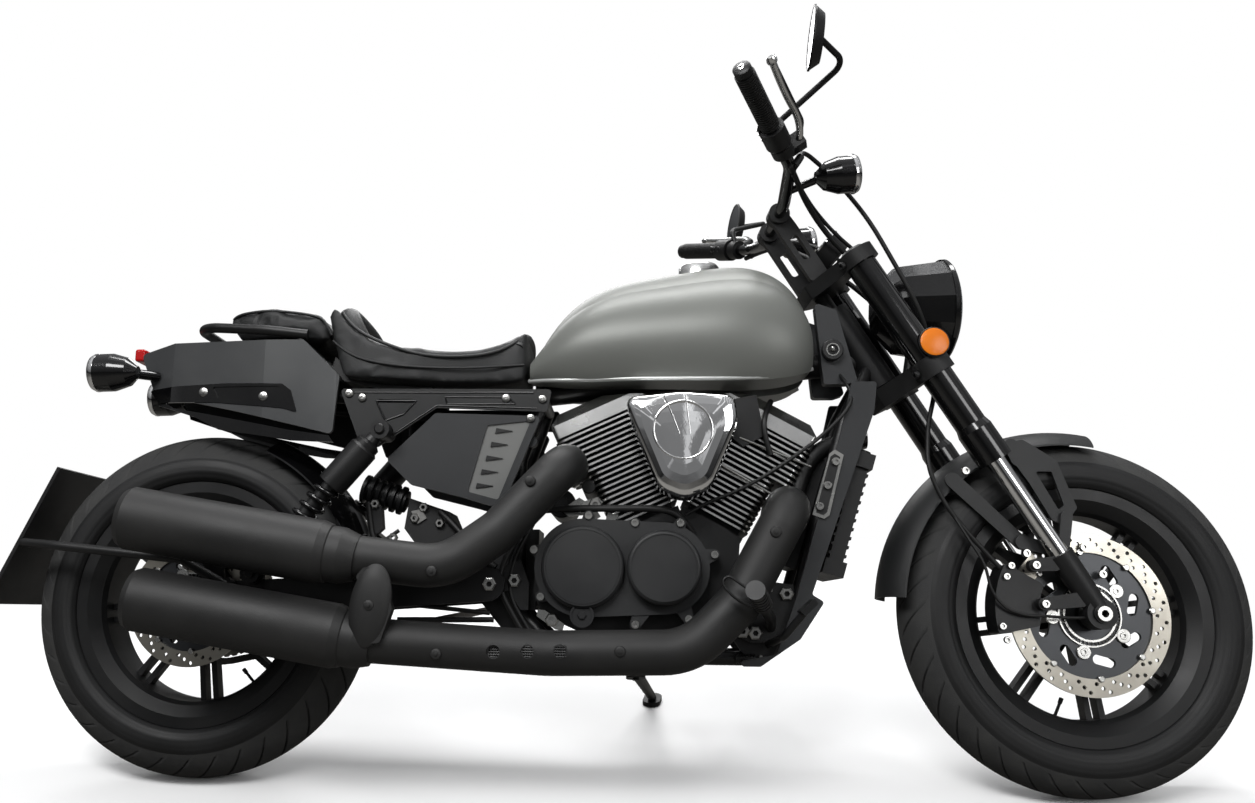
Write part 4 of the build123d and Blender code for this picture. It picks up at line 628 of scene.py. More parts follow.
# ---- Air cleaner: a pressed shield in mirror chrome, with a raised ring and two creases.
# It is drawn up in rings from a rounded outline, and a cast neck holds it off the cylinders.
chrome = coated("chrome", (0.86, 0.86, 0.86), (0.8, 0.8, 0.8), 0.02, 0.05,
                metallic=1.0, grain=200, depth=0.00002)
dress(chrome, "lower_tubes")
bm = bmesh.new()
rim = [(765, 652), (858, 662), (946, 655), (952, 610), (905, 498), (862, 480), (818, 498), (772, 612)]
shell = bm.faces.new([bm.verts.new((x, -174, z)) for x, z in rim])
if shell.normal.y > 0:
    shell.normal_flip()
bmesh.ops.bevel(bm, geom=list(bm.verts), offset=15, segments=6, profile=0.5, material=-1, affect="VERTICES",
                clamp_overlap=True)
shell = bm.faces[:][0]
wall = bmesh.ops.extrude_face_region(bm, geom=[shell])
back = [face for face in wall["geom"] if isinstance(face, bmesh.types.BMFace)][0]
bmesh.ops.translate(bm, verts=back.verts, vec=(0, 46, 0))
back.normal_flip()
front = max(bm.faces, key=lambda face: -face.calc_center_median().y)
middle = Vector((859, 0, 572))
was_size = 1
for size, depth in ((0.985, -179), (0.96, -183.6), (0.92, -187.6), (0.86, -190.6), (0.76, -193),
                    (0.6, -194.7), (0.4, -195.6), (0.15, -196)):
    swell = bmesh.ops.extrude_face_region(bm, geom=[front])
    front = [face for face in swell["geom"] if isinstance(face, bmesh.types.BMFace)][0]
    now = front.verts[0].co
    full = size / was_size
    bmesh.ops.scale(bm, vec=(full, 1, full), space=Matrix.Translation(-middle), verts=front.verts)
    bmesh.ops.translate(bm, verts=front.verts, vec=(0, depth - now.y, 0))
    was_size = size
shield = added("shield", bm, BIKE, "frame", chrome, 60)
neck = lathe([(0, 0), (34, 0), (34, 44), (0, 44)], 40)
added("shield_neck", turned_at(neck, [(858, -87, 590)], RIGHT), BIKE, "frame", cast_black)
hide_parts("air_cleaner")
bead = lathe([(48 + 2.2 * cos(2 * pi * n / 10), 2.2 * sin(2 * pi * n / 10)) for n in range(11)], 64)
added("shield_ring", turned_at(bead, [(859, -194.4, 594)], RIGHT), BIKE, "frame", chrome)
for index, run in enumerate((((828, 652), (846, 612), (858, 572)), ((864, 654), (868, 612), (873, 572)))):
    wire(f"shield_crease_{index}", [(x, -194.6, z) for x, z in run], 1.5, BIKE, "frame", chrome)

# ---- Exhausts: matte black heat shields over the pipes and silencers, in a coat for high heat.
# Dome-headed screws hold the shields; wire mesh closes three holes.
pipe_black = coated("pipe_black", (0.01024, 0.01024, 0.01024), (0.01536, 0.01504, 0.01472), 0.48, 0.6,
                    grain=1500, depth=0.0002)
dress(pipe_black, "exhausts")
dome = lathe([(0, 5.5), (3, 5), (3, 3.2), (5, 3.2), (8, 2), (9, 0), (9, -6), (0, -6)], 16)
bm = turned_at(dome, ((609, -203, 508), (455, -229, 359), (467, -234, 230), (756, -218, 237),
                      (1005, -196, 427), (362, -257, 304)), RIGHT)
added("shield_screws", bm, BIKE, "frame", pipe_black)
bm = bmesh.new()
leaf = lathe([(0, 10), (8, 10), (20, 8.4), (29, 4.6), (33, 0), (33, -6), (0, -6)], 48)
leaning = Matrix.Translation((362, -248, 304)) @ Matrix.Rotation(radians(8), 4, "Y")
stamp(bm, leaf, leaning @ Matrix.Diagonal((1, 1, 2.0, 1)) @ Matrix.Rotation(pi / 2, 4, "X"))
added("link_cap", bm, BIKE, "frame", pipe_black)
mesh_steel = coated("mesh_steel", (0.05, 0.05, 0.05), (0.12, 0.12, 0.12), 0.4, 0.55, metallic=0.8, grain=600)
bm = bmesh.new()
bar = lathe([(0, -10), (0.9, -10), (0.9, 10), (0, 10)], 6)
hoop = lathe([(9.6, -1), (11, -1), (11, 1), (9.6, 1), (9.6, -1)], 24)
for x, z in ((557, 234), (611, 235), (662, 236)):
    stamp(bm, hoop, facing((x, -222, z), LEFT))
    for step in range(-2, 3):
        stamp(bm, bar, facing((x + step * 4, -221, z), (0, 0, 1)))
        stamp(bm, bar, facing((x, -222, z + step * 4), (1, 0, 0)))
added("shield_mesh", bm, BIKE, "frame", mesh_steel)
bm = bmesh.new()
for end, start in (((-62, -226, 444), (300, -212, 384)), ((-42, -222, 312), (330, -208, 250))):
    lip = lathe([(24, 0), (27.5, 0), (28.5, 3), (26, 6), (24, 5), (24, 0)], 40)
    stamp(bm, lip, facing(end, Vector(end) - Vector(start)))
added("silencer_lips", bm, BIKE, "frame", cast_black)

# ---- Fuel tank: one pressed shell in satin grey-green paint, with a welded lip along its foot whose pale colour is a painted highlight.
# The cap is a bright lid with a lock.
tank_paint = coated("tank_paint", (0.135, 0.14, 0.13), (0.148, 0.153, 0.142), 0.38, 0.46,
                    metallic=0.25, patch=3, grain=2400, depth=0.00005)
dress(tank_paint, "fuel_tank")
# The lip has the shape of the tank's seam, but its pale, half-metallic colour is a painted highlight along
# it; the gauge ticks use the same colour as their white print.
lip_paint = coated("lip_paint", (0.42, 0.43, 0.42), (0.48, 0.49, 0.48), 0.25, 0.35, metallic=0.5, grain=1800)
SIDES = ((-1, "right"), (1, "left"))
edge = ((592, 68, 703), (622, 86, 701), (660, 101, 698), (800, 122, 696), (960, 131, 693), (1052, 115, 701),
        (1088, 84, 719))
for hand, side_name in SIDES:
    wire(f"tank_lip_{side_name}", [(x, hand * y, z) for x, y, z in edge], 4.2, BIKE, "frame", lip_paint)
bm = bmesh.new()
lid = lathe([(0, 32), (26, 32), (27, 30.5), (30, 30.5), (31, 32), (34, 31), (37, 27), (37, 4), (41, 2),
             (42, 0), (0, 0)], 48)
stamp(bm, lid, Matrix.Translation((900, 0, 904)))
lock = lathe([(0, 35), (9, 35), (10, 34), (10, 32), (0, 32)], 24)
stamp(bm, lock, Matrix.Translation((894, 0, 904)))
added("fuel_cap", bm, BIKE, "frame", polished_alloy)

# ---- Seats: foam under a black cover, swollen by a cloth simulation, with piping and stitched seams.
# Piping follows the top edge of each pad, and a seam the foot of the rider's one.
# A stuffed bolster rounds the back of the rider's pad, and a smaller roll its nose behind the tank.
VOXEL, SMOOTHINGS, SWELL_FRAMES, STIFFNESS, PEAK_Z = 0.0055, 6, 20, 12, 826


def padding(name, node, pressure, most, taper, lowered=0.0):
    """A padded copy of a soft CAD solid: remeshed, drawn in a little, blown up and held to a limit.

    What stands above PEAK_Z comes down by the part that lowered gives, because the bolster rounds it.
    """
    source = frame["nodes"][node]
    mesh = source.data.copy()
    mesh.name = name
    piece = bpy.data.objects.new(name, mesh)
    bpy.context.scene.collection.objects.link(piece)
    bm = bmesh.new()
    bm.from_mesh(mesh)
    bmesh.ops.remove_doubles(bm, verts=bm.verts, dist=0.00001)
    bm.to_mesh(mesh)
    bm.free()
    remesh = piece.modifiers.new("even", "REMESH")
    remesh.mode, remesh.voxel_size = "VOXEL", VOXEL
    bpy.context.view_layer.update()
    even = applied(piece)
    piece.modifiers.clear()
    piece.data = even
    bm = bmesh.new()
    bm.from_mesh(even)
    bmesh.ops.recalc_face_normals(bm, faces=bm.faces)
    for vert in bm.verts:
        over = (vert.co - BIKE @ Vector((0, 0, PEAK_Z))).dot(rise)
        vert.co -= rise * max(over, 0) * lowered
    for step in range(SMOOTHINGS):
        bmesh.ops.smooth_vert(bm, verts=bm.verts, factor=0.5, use_axis_x=True, use_axis_y=True,
                              use_axis_z=True)
    for vert in bm.verts:
        vert.co -= vert.normal * taper
    bm.to_mesh(even)
    bm.free()
    start = [vert.co.copy() for vert in even.vertices]
    cloth = piece.modifiers.new("swell", "CLOTH")
    cloth.settings.use_pressure, cloth.settings.uniform_pressure_force = True, pressure
    cloth.settings.effector_weights.gravity = 0
    cloth.settings.tension_stiffness = cloth.settings.compression_stiffness = STIFFNESS
    for step in range(1, SWELL_FRAMES + 1):
        bpy.context.scene.frame_set(step)
    swollen = applied(piece)
    piece.modifiers.clear()
    bpy.context.scene.frame_set(1)
    for vert, was in zip(swollen.vertices, start):
        move = vert.co - was
        vert.co = was + move * min(1, most / max(move.length, 1e-9))
    piece.data = swollen
    piece.data.shade_smooth()
    smooth = piece.modifiers.new("finer", "SUBSURF")
    smooth.levels = smooth.render_levels = 1
    piece.data.materials.clear()
    piece.data.materials.append(seat_hide)
    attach(piece, "frame")
    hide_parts(node)


seat_hide = coated("seat_hide", (0.012, 0.0124, 0.0128), (0.0184, 0.0188, 0.0192), 0.42, 0.56,
                   patch=14, grain=900, depth=0.0005)
padding("rider_pad", "rider_seat", 4, 0.004, 0.002, lowered=0.8)
padding("pillion_pad", "pillion_seat", 4, 0.003, 0.0015)


def seam(name, points, radius):
    """Piping on both sides of a pad, along points on its right side."""
    for hand, side_name in SIDES:
        wire(f"{name}_{side_name}", [(x, -hand * y, z) for x, y, z in points], radius, BIKE, "frame",
             seat_hide)


seam("rider_top_piping", [(256, -106, 824), (270, -116, 804), (300, -125, 778), (350, -129, 756),
                          (400, -126, 740), (460, -112, 738), (520, -94, 747), (560, -86, 764),
                          (584, -76, 786)], 3)
seam("rider_side_seam", [(243, -112, 770), (272, -124, 742), (330, -131, 724), (400, -131, 716),
                         (470, -112, 718), (530, -95, 724), (584, -83, 730)], 2.2)
wire("rider_bolster", [(300, -92, 746), (276, -99, 794), (262, -84, 819), (259, -40, 825), (259, 40, 825),
                       (262, 84, 819), (276, 99, 794), (300, 92, 746)], 21, BIKE, "frame", seat_hide,
     6)
wire("rider_nose", [(572, -78, 762), (580, -66, 780), (583, -30, 789), (583, 30, 789), (580, 66, 780),
                    (572, 78, 762)], 11, BIKE, "frame", seat_hide, 5)
seam("pillion_piping", [(42, -70, 822), (50, -76, 828), (80, -85, 831.5), (120, -95, 832),
                        (170, -97, 826.5), (212, -96.5, 819), (226, -97, 804), (236, -97, 784)], 2.6)

# ---- Tail, lamps and signals: dark satin paint, glossy black panels, bullet signals with amber lenses.
# The cowl and the plate's board are screwed on. Each signal has a moulded body and a chrome rim round
# its lens, and the front pair rides on the fork.
tail_paint = coated("tail_paint", (0.054, 0.0558, 0.0576), (0.0648, 0.0666, 0.0675), 0.34, 0.42,
                    metallic=0.4, grain=2400, depth=0.00005)
dress(tail_paint, "tail_cowl")
moulded_black = coated("moulded_black", (0.0049, 0.0049, 0.00525), (0.0077, 0.0077, 0.0077), 0.4, 0.55,
                       grain=1300, depth=0.0002)
dress(moulded_black, "plate_carrier")
gloss_black = coated("gloss_black", (0.0024, 0.0024, 0.0028), (0.0048, 0.0048, 0.0048), 0.1, 0.2,
                     grain=300, Coat_Weight=0.5)
dress(gloss_black, "rear_signals", "front_signals", "black_mouldings")
red_lens = coated("red_lens", (0.42, 0.008, 0.008), (0.34, 0.008, 0.008), 0.06, 0.12, grain=400)
dress(red_lens, "tail_lamp")
amber = coated("amber_lens", (0.75, 0.2, 0.01), (0.65, 0.16, 0.01), 0.06, 0.14, grain=1200, depth=0.0002)
lens = lathe([(0, 4), (10, 3.6), (19, 2.2), (25, 0), (26.5, -3), (0, -3)], 32)
hoop = lathe([(24, -10), (32, -10), (34.4, -9), (34.6, -5), (31, 1.5), (27.5, 3), (25.4, 1.5), (24, -10)], 32)
for body, place, tips in (("frame", BIKE, (((-188, -122, 711), (-108, -122, 713)),
                                           ((-188, 122, 711), (-108, 122, 713)))),
                          ("steering", FORK, (((112, -160, 1150), (48, -160, 1180)),
                                              ((112, 160, 1150), (48, 160, 1180))))):
    glass, rims = bmesh.new(), bmesh.new()
    for tip, back in tips:
        stamp(glass, lens, facing(tip, Vector(tip) - Vector(back)))
        stamp(rims, hoop, facing(tip, Vector(tip) - Vector(back)))
    added(body + "_signal_lenses", glass, place, body, amber)
    added(body + "_signal_rims", rims, place, body, chrome)
bm = bmesh.new()
for hand in (-1, 1):
    for x, z, y in ((5, 680, 97.5), (121, 669, 113)):
        stamp(bm, dome, facing((x, hand * y, z), (0, hand, 0)))
added("tail_screws", bm, BIKE, "frame", bright_zinc)
bm = bmesh.new()
for y in (-60, 60):
    stamp(bm, dome, facing((-335, y, 380), (-242, 0, 113)))
added("board_screws", bm, BIKE, "frame", bright_zinc)

# ---- Side covers and frame plates: grey mouldings with a paler vented insert, under black cast plates.
# Button screws hold the plates, whose raised ribs are gloss black. The ignition switch stands out on the
# right, a black barrel with a bright ring round its key.
def cover_face(centre, normal):
    """1 on the sunk insert, 2 on the slashes that stand in it, 0 elsewhere."""
    if abs(abs(centre.y) - 109) < 0.3:
        return 1
    left, right = 492 + (centre.z - 500) * 32 / 116, 545 + (centre.z - 486) * 55 / 138
    return 2 if 500 < centre.z < 618 and left + 3 < centre.x < right - 3 and abs(centre.y) > 109 else 0


moulded_grey = coated("moulded_grey", (0.014, 0.015, 0.0165), (0.02, 0.021, 0.0225), 0.42, 0.56,
                      grain=1300, depth=0.0002)
insert_grey = coated("insert_grey", (0.12, 0.1222, 0.1185), (0.1425, 0.144, 0.1395), 0.45, 0.6,
                     grain=1300, depth=0.0002)
copied("side_covers", "body_covers", cover_face, [moulded_grey, insert_grey, moulded_black])
plate_black = coated("plate_black", (0.006, 0.0063, 0.0066), (0.0096, 0.0099, 0.0102), 0.34, 0.46, grain=1400)
dress(plate_black, "frame_plates")
bm = bmesh.new()
button = lathe([(0, 2.5), (3, 2.5), (3, 4.5), (6.5, 3.6), (8, 1.4), (8, 0), (0, 0)], 16)
for hand in (-1, 1):
    for x, z in ((556, 664), (300, 666), (276, 674), (620, 662)):
        stamp(bm, button, facing((x, hand * 110, z), (0, hand, 0)))
    stamp(bm, button, facing((600, hand * 112, 628), (0, hand, 0)))
added("plate_screws", bm, BIKE, "frame", bright_zinc)
for index, run in enumerate((((325, 661), (397, 660), (376, 637), (343, 625), (325, 661)),
                             ((448, 667), (560, 666), (572, 654), (452, 654), (448, 667)),
                             ((284, 676), (604, 674)), ((336, 586), (434, 652), (610, 646)))):
    for hand, side_name in SIDES:
        path = [(x, hand * 110, z) for x, z in run]
        full = [Vector(a).lerp(Vector(b), part) for a, b in zip(path, path[1:]) for part in (0, 0.04, 0.96)]
        wire(f"plate_rib_{index}_{side_name}", full + [path[-1]], 1.7, BIKE, "frame", gloss_black)
barrel = lathe([(0, 2), (7, 2), (8, 4), (17, 4), (18.5, 2.5), (18.5, 0), (0, 0)], 32)
added("ignition_barrel", turned_at(barrel, [(1125, -84, 753)], RIGHT), BIKE, "frame", moulded_black)
bm = bmesh.new()
stamp(bm, lathe([(9.5, 0), (11.5, 0), (11.5, 1), (9.5, 1), (9.5, 0)], 32), facing((1125, -88, 753), RIGHT))
stamp(bm, lathe([(0, 0), (4, 0), (4, 7), (2, 9), (0, 9)], 16), facing((1125, -86, 753), RIGHT))
added("ignition_ring", bm, BIKE, "frame", bright_zinc)

# ---- Fork, fender and brake: gloss black tubes over chrome sliders, cast holders, a plain black fender.
# An amber reflector stands on the right tube.
dress(gloss_black, "upper_tubes")
fender_black = coated("fender_black", (0.012, 0.0124, 0.0128), (0.0176, 0.018, 0.0184), 0.44, 0.56,
                      grain=1500, depth=0.0002)
dress(fender_black, "front_fender")
dress(rubber_black, "brake_hoses")
bm = bmesh.new()
cap = lathe([(0, 9), (6, 9), (6, 6), (11, 6), (12, 8), (19, 8), (23, 5), (25, 2), (25, 0), (0, 0)], 12)
for y in (-93, 93):
    stamp(bm, cap, Matrix.Translation((57, y, 1042)))
for hand in (-1, 1):
    for up in (802, 1031):
        stamp(bm, cover_screw, facing((24, hand * 104, up), (-0.95, hand * 0.3, 0)))
added("fork_caps", bm, FORK, "steering", cast_black)
bm = bmesh.new()
washer = lathe([(6, 0), (12, 0), (13, 2), (12, 5), (6, 5), (6, 0)], 24)
for hand in (-1, 1):
    stamp(bm, washer, facing((0, hand * 113, 0), (0, hand, 0)))
for x, z in ((-100, 78), (-90, 15)):
    stamp(bm, cover_screw, facing((x, -103, z), RIGHT))
added("holder_screws", bm, FRONT_WHEEL, "steering", bright_zinc)
bm = bmesh.new()
for x, z, y in ((1338, 539, -70), (1428, 399, -75), (1527, 411, -70), (1553, 366, -72)):
    stamp(bm, cover_screw, facing((x, y, z), RIGHT))
for x, z in ((1386, 359), (1395, 377), (1373, 278), (1379, 256)):
    stamp(bm, cover_screw, facing((x, -89, z), RIGHT) @ Matrix.Diagonal((0.85, 0.85, 0.9, 1)))
added("stay_screws", bm, STEERED, "steering", bright_zinc)
disc = lathe([(0, 6), (22, 6), (24, 5), (24, 0), (0, 0)], 40)
added("reflector", turned_at(disc, [(69, -130, 833)], RIGHT), FORK, "steering", amber)
bm = bmesh.new()
back = lathe([(0, 3), (26, 3), (26.5, 6), (25.5, 7), (24.2, 6.4), (24.2, 0), (0, 0)], 40)
stamp(bm, back, facing((69, -127, 833), RIGHT))
post = lathe([(0, 0), (7, 0), (7, 20), (0, 20)], 16)
stamp(bm, post, facing((63, -110, 833), RIGHT))
added("reflector_back", bm, FORK, "steering", moulded_black)

# ---- Bar, controls, mirrors and gauge: a gloss black bar with ribbed grips and black fittings.
# Polished levers end in round knobs in front of the grips. The cables and the union of the brake hose are
# black, and the gauge stands over the clamps under dark glass.
dress(gloss_black, "handlebar")
dress(moulded_black, "hand_controls", "mirrors", "gauge")
GRIP_IN, GRIP_OUT = Vector((8, 190, 1209)), Vector((-50, 372, 1322))
GRIP_LONG, RIB_PITCH, RIB_R, GROOVE_R, BAR_R = 118, 4.9, 17, 15.8, 11.2
ribs = [(BAR_R, -GRIP_LONG)]
for step in range(24):
    low = -GRIP_LONG + step * RIB_PITCH
    ribs += [(RIB_R, low + 0.4), (RIB_R, low + 3.2), (GROOVE_R, low + 3.6), (GROOVE_R, low + 4.7)]
ribs += [(RIB_R, 0), (BAR_R, 0), (BAR_R, -GRIP_LONG)]


def grip_line(hand):
    """The inner and outer ends of the grip on one side, on the line of the bar."""
    return [Vector((at.x, hand * at.y, at.z)) for at in (GRIP_IN, GRIP_OUT)]


grip = lathe(ribs, 28)
weight = lathe([(0, 16), (12, 16), (15, 14), (15, 2), (13, 0), (0, 0)], 28)
bm = bmesh.new()
ends = bmesh.new()
for hand in (-1, 1):
    start, end = grip_line(hand)
    stamp(bm, grip, facing(end, end - start))
    stamp(ends, weight, facing(end, end - start))
ribbed = added("ribbed_grips", bm, FORK, "steering", rubber_black)
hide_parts("grips")
added("bar_ends", ends, FORK, "steering", cast_black)
bolts = bmesh.new()
eyelet = lathe([(2.5, 0), (6, 0), (6, 1.2), (4.5, 1.8), (2.5, 1.2), (2.5, 0)], 20)
ball = lathe([(0, -9), (5, -8), (8.5, -4), (9, 0), (8, 4.5), (5, 8), (0, 9)], 20)
KNOB_AHEAD = Vector((50, 0, 0))
for hand, side_name in SIDES:
    start, end = grip_line(hand)
    way = (end - start).normalized()
    stamp(bolts, eyelet, facing(end + way * 16, way))
    knuckle = end - way * 176 + Vector((34, 0, 0))
    blade = [knuckle + way * 3 + Vector((3, 0, 0)), knuckle + Vector((18, 0, 0)) + way * 34,
             end - way * 70 + Vector((46, 0, 0)), end - way * 4 + KNOB_AHEAD]
    wire(f"lever_{side_name}", blade, 6, FORK, "steering", polished_alloy, 4)
    stamp(bolts, ball, facing(end + KNOB_AHEAD, way))
added("bar_bolts", bolts, FORK, "steering", polished_alloy)
wire("hose_union", [(34, -187, 1217), (24, -195, 1211), (6, -206, 1202)], 7, FORK, "steering", moulded_black,
     4)
for index, (points, radius) in enumerate((
        ([(-2, -214, 1204), (14, -168, 1190), (30, -112, 1168), (44, -74, 1124), (60, -50, 1070),
          (84, -38, 1004), (98, -28, 930)], 5),
        ([(2, -196, 1196), (24, -140, 1188), (46, -84, 1150), (66, -56, 1096), (88, -46, 1040),
          (96, -34, 960)], 3.5),
        ([(-2, 214, 1204), (14, 168, 1190), (30, 112, 1168), (44, 74, 1124), (60, 50, 1070), (84, 38, 1004),
          (98, 28, 930)], 5),
        ([(2, 196, 1196), (26, 140, 1190), (54, 84, 1156), (84, 56, 1100), (96, 40, 1040), (100, 30, 960)],
         3.5))):
    wire(f"bar_cable_{index}", points, radius, FORK, "steering", rubber_black)

mirror_glass = coated("mirror_glass", (0.8, 0.82, 0.84), (0.78, 0.8, 0.82), 0.01, 0.02,
                      metallic=1.0, grain=50, depth=0.00001)
bm = bmesh.new()
pane = lathe([(0, 0.4), (46, 0), (46, -1), (0, -1)], 48)
rim_bm = bmesh.new()
rim = lathe([(45.5, -2), (50, -2), (50.6, 0), (49, 1.6), (46.5, 1.2), (45.5, -0.4), (45.5, -2)], 48)
to_steered = STEERED.inverted() @ FORK
for hand in (-1, 1):
    centre = to_steered @ Vector((79, hand * 376, 1316))
    back = Vector((-0.96, hand * -0.1, 0.1)).normalized()
    stamp(bm, pane, facing(centre + back * 8.5, back))
    stamp(rim_bm, rim, facing(centre + back * 8, back))
added("mirror_glasses", bm, STEERED, "steering", mirror_glass)
added("mirror_rims", rim_bm, STEERED, "steering", moulded_black)

bm = bmesh.new()
knob = lathe([(0, 4), (5, 4), (6.5, 2.5), (6.5, -2), (0, -2)], 16)
to_rider = Vector((-0.8, 0, 0.6))
for hand in (-1, 1):
    start, end = grip_line(hand)
    way = (end - start).normalized()
    for shift in (-151, -137, -127):
        stamp(bm, knob, facing(end + way * shift + to_rider * 21, to_rider))
added("switch_knobs", bm, FORK, "steering", gloss_black)

low, high = Vector((64, 0, 1066)), Vector((54, 0, 1098))
bezel = lathe([(35, -1), (40.5, -1), (41, 1.5), (39, 3), (36, 2.2), (35, 0.5), (35, -1)], 48)
added("gauge_bezel", turned_at(bezel, [high], high - low), FORK, "steering", chrome)
dial_glass = coated("dial_glass", (0.01, 0.011, 0.012), (0.013, 0.014, 0.015), 0.04, 0.08,
                    grain=60, depth=0.00001)
pane = lathe([(0, 1.2), (35.5, 0.6), (35.5, -0.5), (0, -0.5)], 48)
added("gauge_glass", turned_at(pane, [high], high - low), FORK, "steering", dial_glass)
bm = bmesh.new()
tick = lathe([(0, 0.35), (0.8, 0.35), (0.8, 0), (0, 0)], 6)
face = facing(high, high - low)
for step in range(25):
    angle = radians(-210 + step * 10)
    for size in ((30, 27.5) if step % 5 == 0 else (30,)):
        stamp(bm, tick, face @ Matrix.Translation((size * cos(angle), size * sin(angle), 0.9)))
added("gauge_ticks", bm, FORK, "steering", lip_paint)

# ---- Headlight: faceted gloss shell, a black bezel, and a lens over its lamp ring.
# The shell is a moulding. The lens is clear plastic, with two bright rings on its face.
LENS_Z = 848
dress(gloss_black, "headlight")
clear_lens = coated("clear_lens", (0.5, 0.52, 0.55), (0.45, 0.47, 0.5), 0.03, 0.06,
                    grain=200, depth=0.00002, Transmission_Weight=0.5, Coat_Weight=0.6)
dress(clear_lens, "headlight_lens")
AHEAD = (1, 0, 0)
bezel = lathe([(86, 0), (95, 0), (95.5, 6), (92, 10), (88, 9), (86, 5), (86, 0)], 64)
added("headlight_bezel", turned_at(bezel, [(1336, 0, LENS_Z)], AHEAD), STEERED, "steering", gloss_black)
bm = bmesh.new()
for size in (64, 40):
    stamp(bm, lathe([(size, 0), (size + 6, 0), (size + 5, 1.6), (size + 1, 1.6), (size, 0)], 64),
          facing((1351.6, 0, LENS_Z), AHEAD))
added("headlight_rings", bm, STEERED, "steering", polished_alloy)

# ---- Radiator and its cowl: a black core between grey moulded cheeks, hung in front of the engine.
# The bright bar that is screwed to the right cheek is made with the brackets of the engine bay.
dress(cast_black, "radiator")
dress(moulded_grey, "radiator_cowl")

# ---- Shock absorbers: black damper and dust cover with an open coil spring.
# A pin through a rubber-bushed eye holds each end, the lower one to the swing arm.
SHOCK_TOP, SHOCK_LOW, SHOCK_Y = Vector((342, 0, 604)), Vector((128, 0, 356)), 137
reach = (SHOCK_TOP - SHOCK_LOW).length
body_shape = lathe([(0, 10), (10, 10), (10, 28), (23, 32), (24, 44), (14, 46), (14, reach - 128),
                    (26, reach - 127), (26, reach - 44), (22, reach - 40), (22, reach - 32), (14, reach - 26),
                    (10, reach - 10), (0, reach - 10)], 32)
coil_low, coil_high, turns, coil_r, per_turn = 46, reach - 128, 8, 19.5, 12
bm = bmesh.new()
eye = lathe([(8, -12), (17, -12), (17, 12), (8, 12), (8, -12)], 32)
pin_cap = lathe([(0, 5), (7, 5), (9, 3), (9, -12), (0, -12)], 16)
for hand, side_name in SIDES:
    foot = facing(SHOCK_LOW + Vector((0, hand * SHOCK_Y, 0)), SHOCK_TOP - SHOCK_LOW)
    stamp(bm, body_shape, foot)
    for end in (SHOCK_TOP, SHOCK_LOW):
        stamp(bm, eye, facing(end + Vector((0, hand * SHOCK_Y, 0)), (0, hand, 0)))
        stamp(bm, pin_cap, facing(end + Vector((0, hand * (SHOCK_Y + 12), 0)), (0, hand, 0)))
    path = []
    for step in range(turns * per_turn + 1):
        angle = 2 * pi * step / per_turn
        path.append(foot @ Vector((coil_r * cos(angle), coil_r * sin(angle),
                                   coil_low + 4 + (coil_high - coil_low - 8) * step / (turns * per_turn))))
    wire(f"shock_spring_{side_name}", path, 4.4, BIKE, "frame", gloss_black, 2)
dampers = added("shock_dampers", bm, BIKE, "frame", powder_black)
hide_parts("shocks")

# ---- Drive chain: roller links in dark steel round the sprockets, on the left.
# The loop's two straight runs and two arcs come from the sprockets, and are shared out in whole links.
REAR_R, FRONT_R, PINION, PITCH, CHAIN_Y = 107.5, 42.5, Vector((640, 0, 370)), 15.875, 90
hub = Vector((0, 0, REAR_AXLE_H))
line = PINION - hub
heading = atan2(line.z, line.x)
run = (line.length ** 2 - (REAR_R - FRONT_R) ** 2) ** 0.5
spread = (pi / 2) - atan2(REAR_R - FRONT_R, run)
rear_arc, front_arc = REAR_R * (2 * pi - 2 * spread), FRONT_R * 2 * spread
whole = 2 * run + rear_arc + front_arc
links = round(whole / PITCH)


def chain_at(distance):
    """A point and heading on the chain's loop."""
    distance %= whole
    if distance < run:
        start = hub + REAR_R * Vector((cos(heading + spread), 0, sin(heading + spread)))
        along = Vector((sin(heading + spread), 0, -cos(heading + spread)))
        return start + along * distance, along
    distance -= run
    if distance < front_arc:
        angle = heading + spread - distance / FRONT_R
        return PINION + FRONT_R * Vector((cos(angle), 0, sin(angle))), Vector((sin(angle), 0, -cos(angle)))
    distance -= front_arc
    if distance < run:
        start = PINION + FRONT_R * Vector((cos(heading - spread), 0, sin(heading - spread)))
        along = Vector((sin(heading - spread), 0, -cos(heading - spread)))
        return start + along * distance, along
    angle = heading - spread - (distance - run) / REAR_R
    return hub + REAR_R * Vector((cos(angle), 0, sin(angle))), Vector((sin(angle), 0, -cos(angle)))


link_bm = bmesh.new()
outline_points = []
for centre, start in ((7.9, -pi / 2), (-7.9, pi / 2)):
    outline_points += [(centre + 6.2 * cos(start + pi * n / 4),
                        6.2 * sin(start + pi * n / 4)) for n in range(5)]
for low in (-6.6, 4.8):
    pull(link_bm, outline_points, low, 1.8)
roller = lathe([(0, -4.6), (4.6, -4.6), (4.6, 4.6), (0, 4.6)], 8)
stamp(link_bm, roller, facing((7.9, 0, 0), LEFT))
link_mesh = as_mesh("link", link_bm)
chain_steel = coated("chain_steel", (0.16, 0.15, 0.14), (0.09, 0.085, 0.08), 0.35, 0.5,
                     metallic=0.9, grain=1200)
bm = bmesh.new()
for index in range(links):
    point, along = chain_at(whole * index / links)
    turn = Matrix.Rotation(-atan2(along.z, along.x), 4, "Y")
    at = Matrix.Translation(point + Vector((0, CHAIN_Y, 0)))
    wide = 0.9 + 0.12 * (1.0 if index % 2 else -0.2)
    stamp(bm, link_mesh, at @ turn @ Matrix.Diagonal((1, wide, 1, 1)))
chain = added("roller_chain", bm, BIKE, "frame", chain_steel)
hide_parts("drive_chain")

# ---- Engine bay: cables, coolant hoses, brackets and small castings tucked round the engine.
# Black rubber and cast pieces, with a few bright levers, plates and nuts.
def slab(bm, points, low, high):
    """A flat plate from an outline of (x, z) points, between two values of y."""
    pull(bm, points, low, high - low)


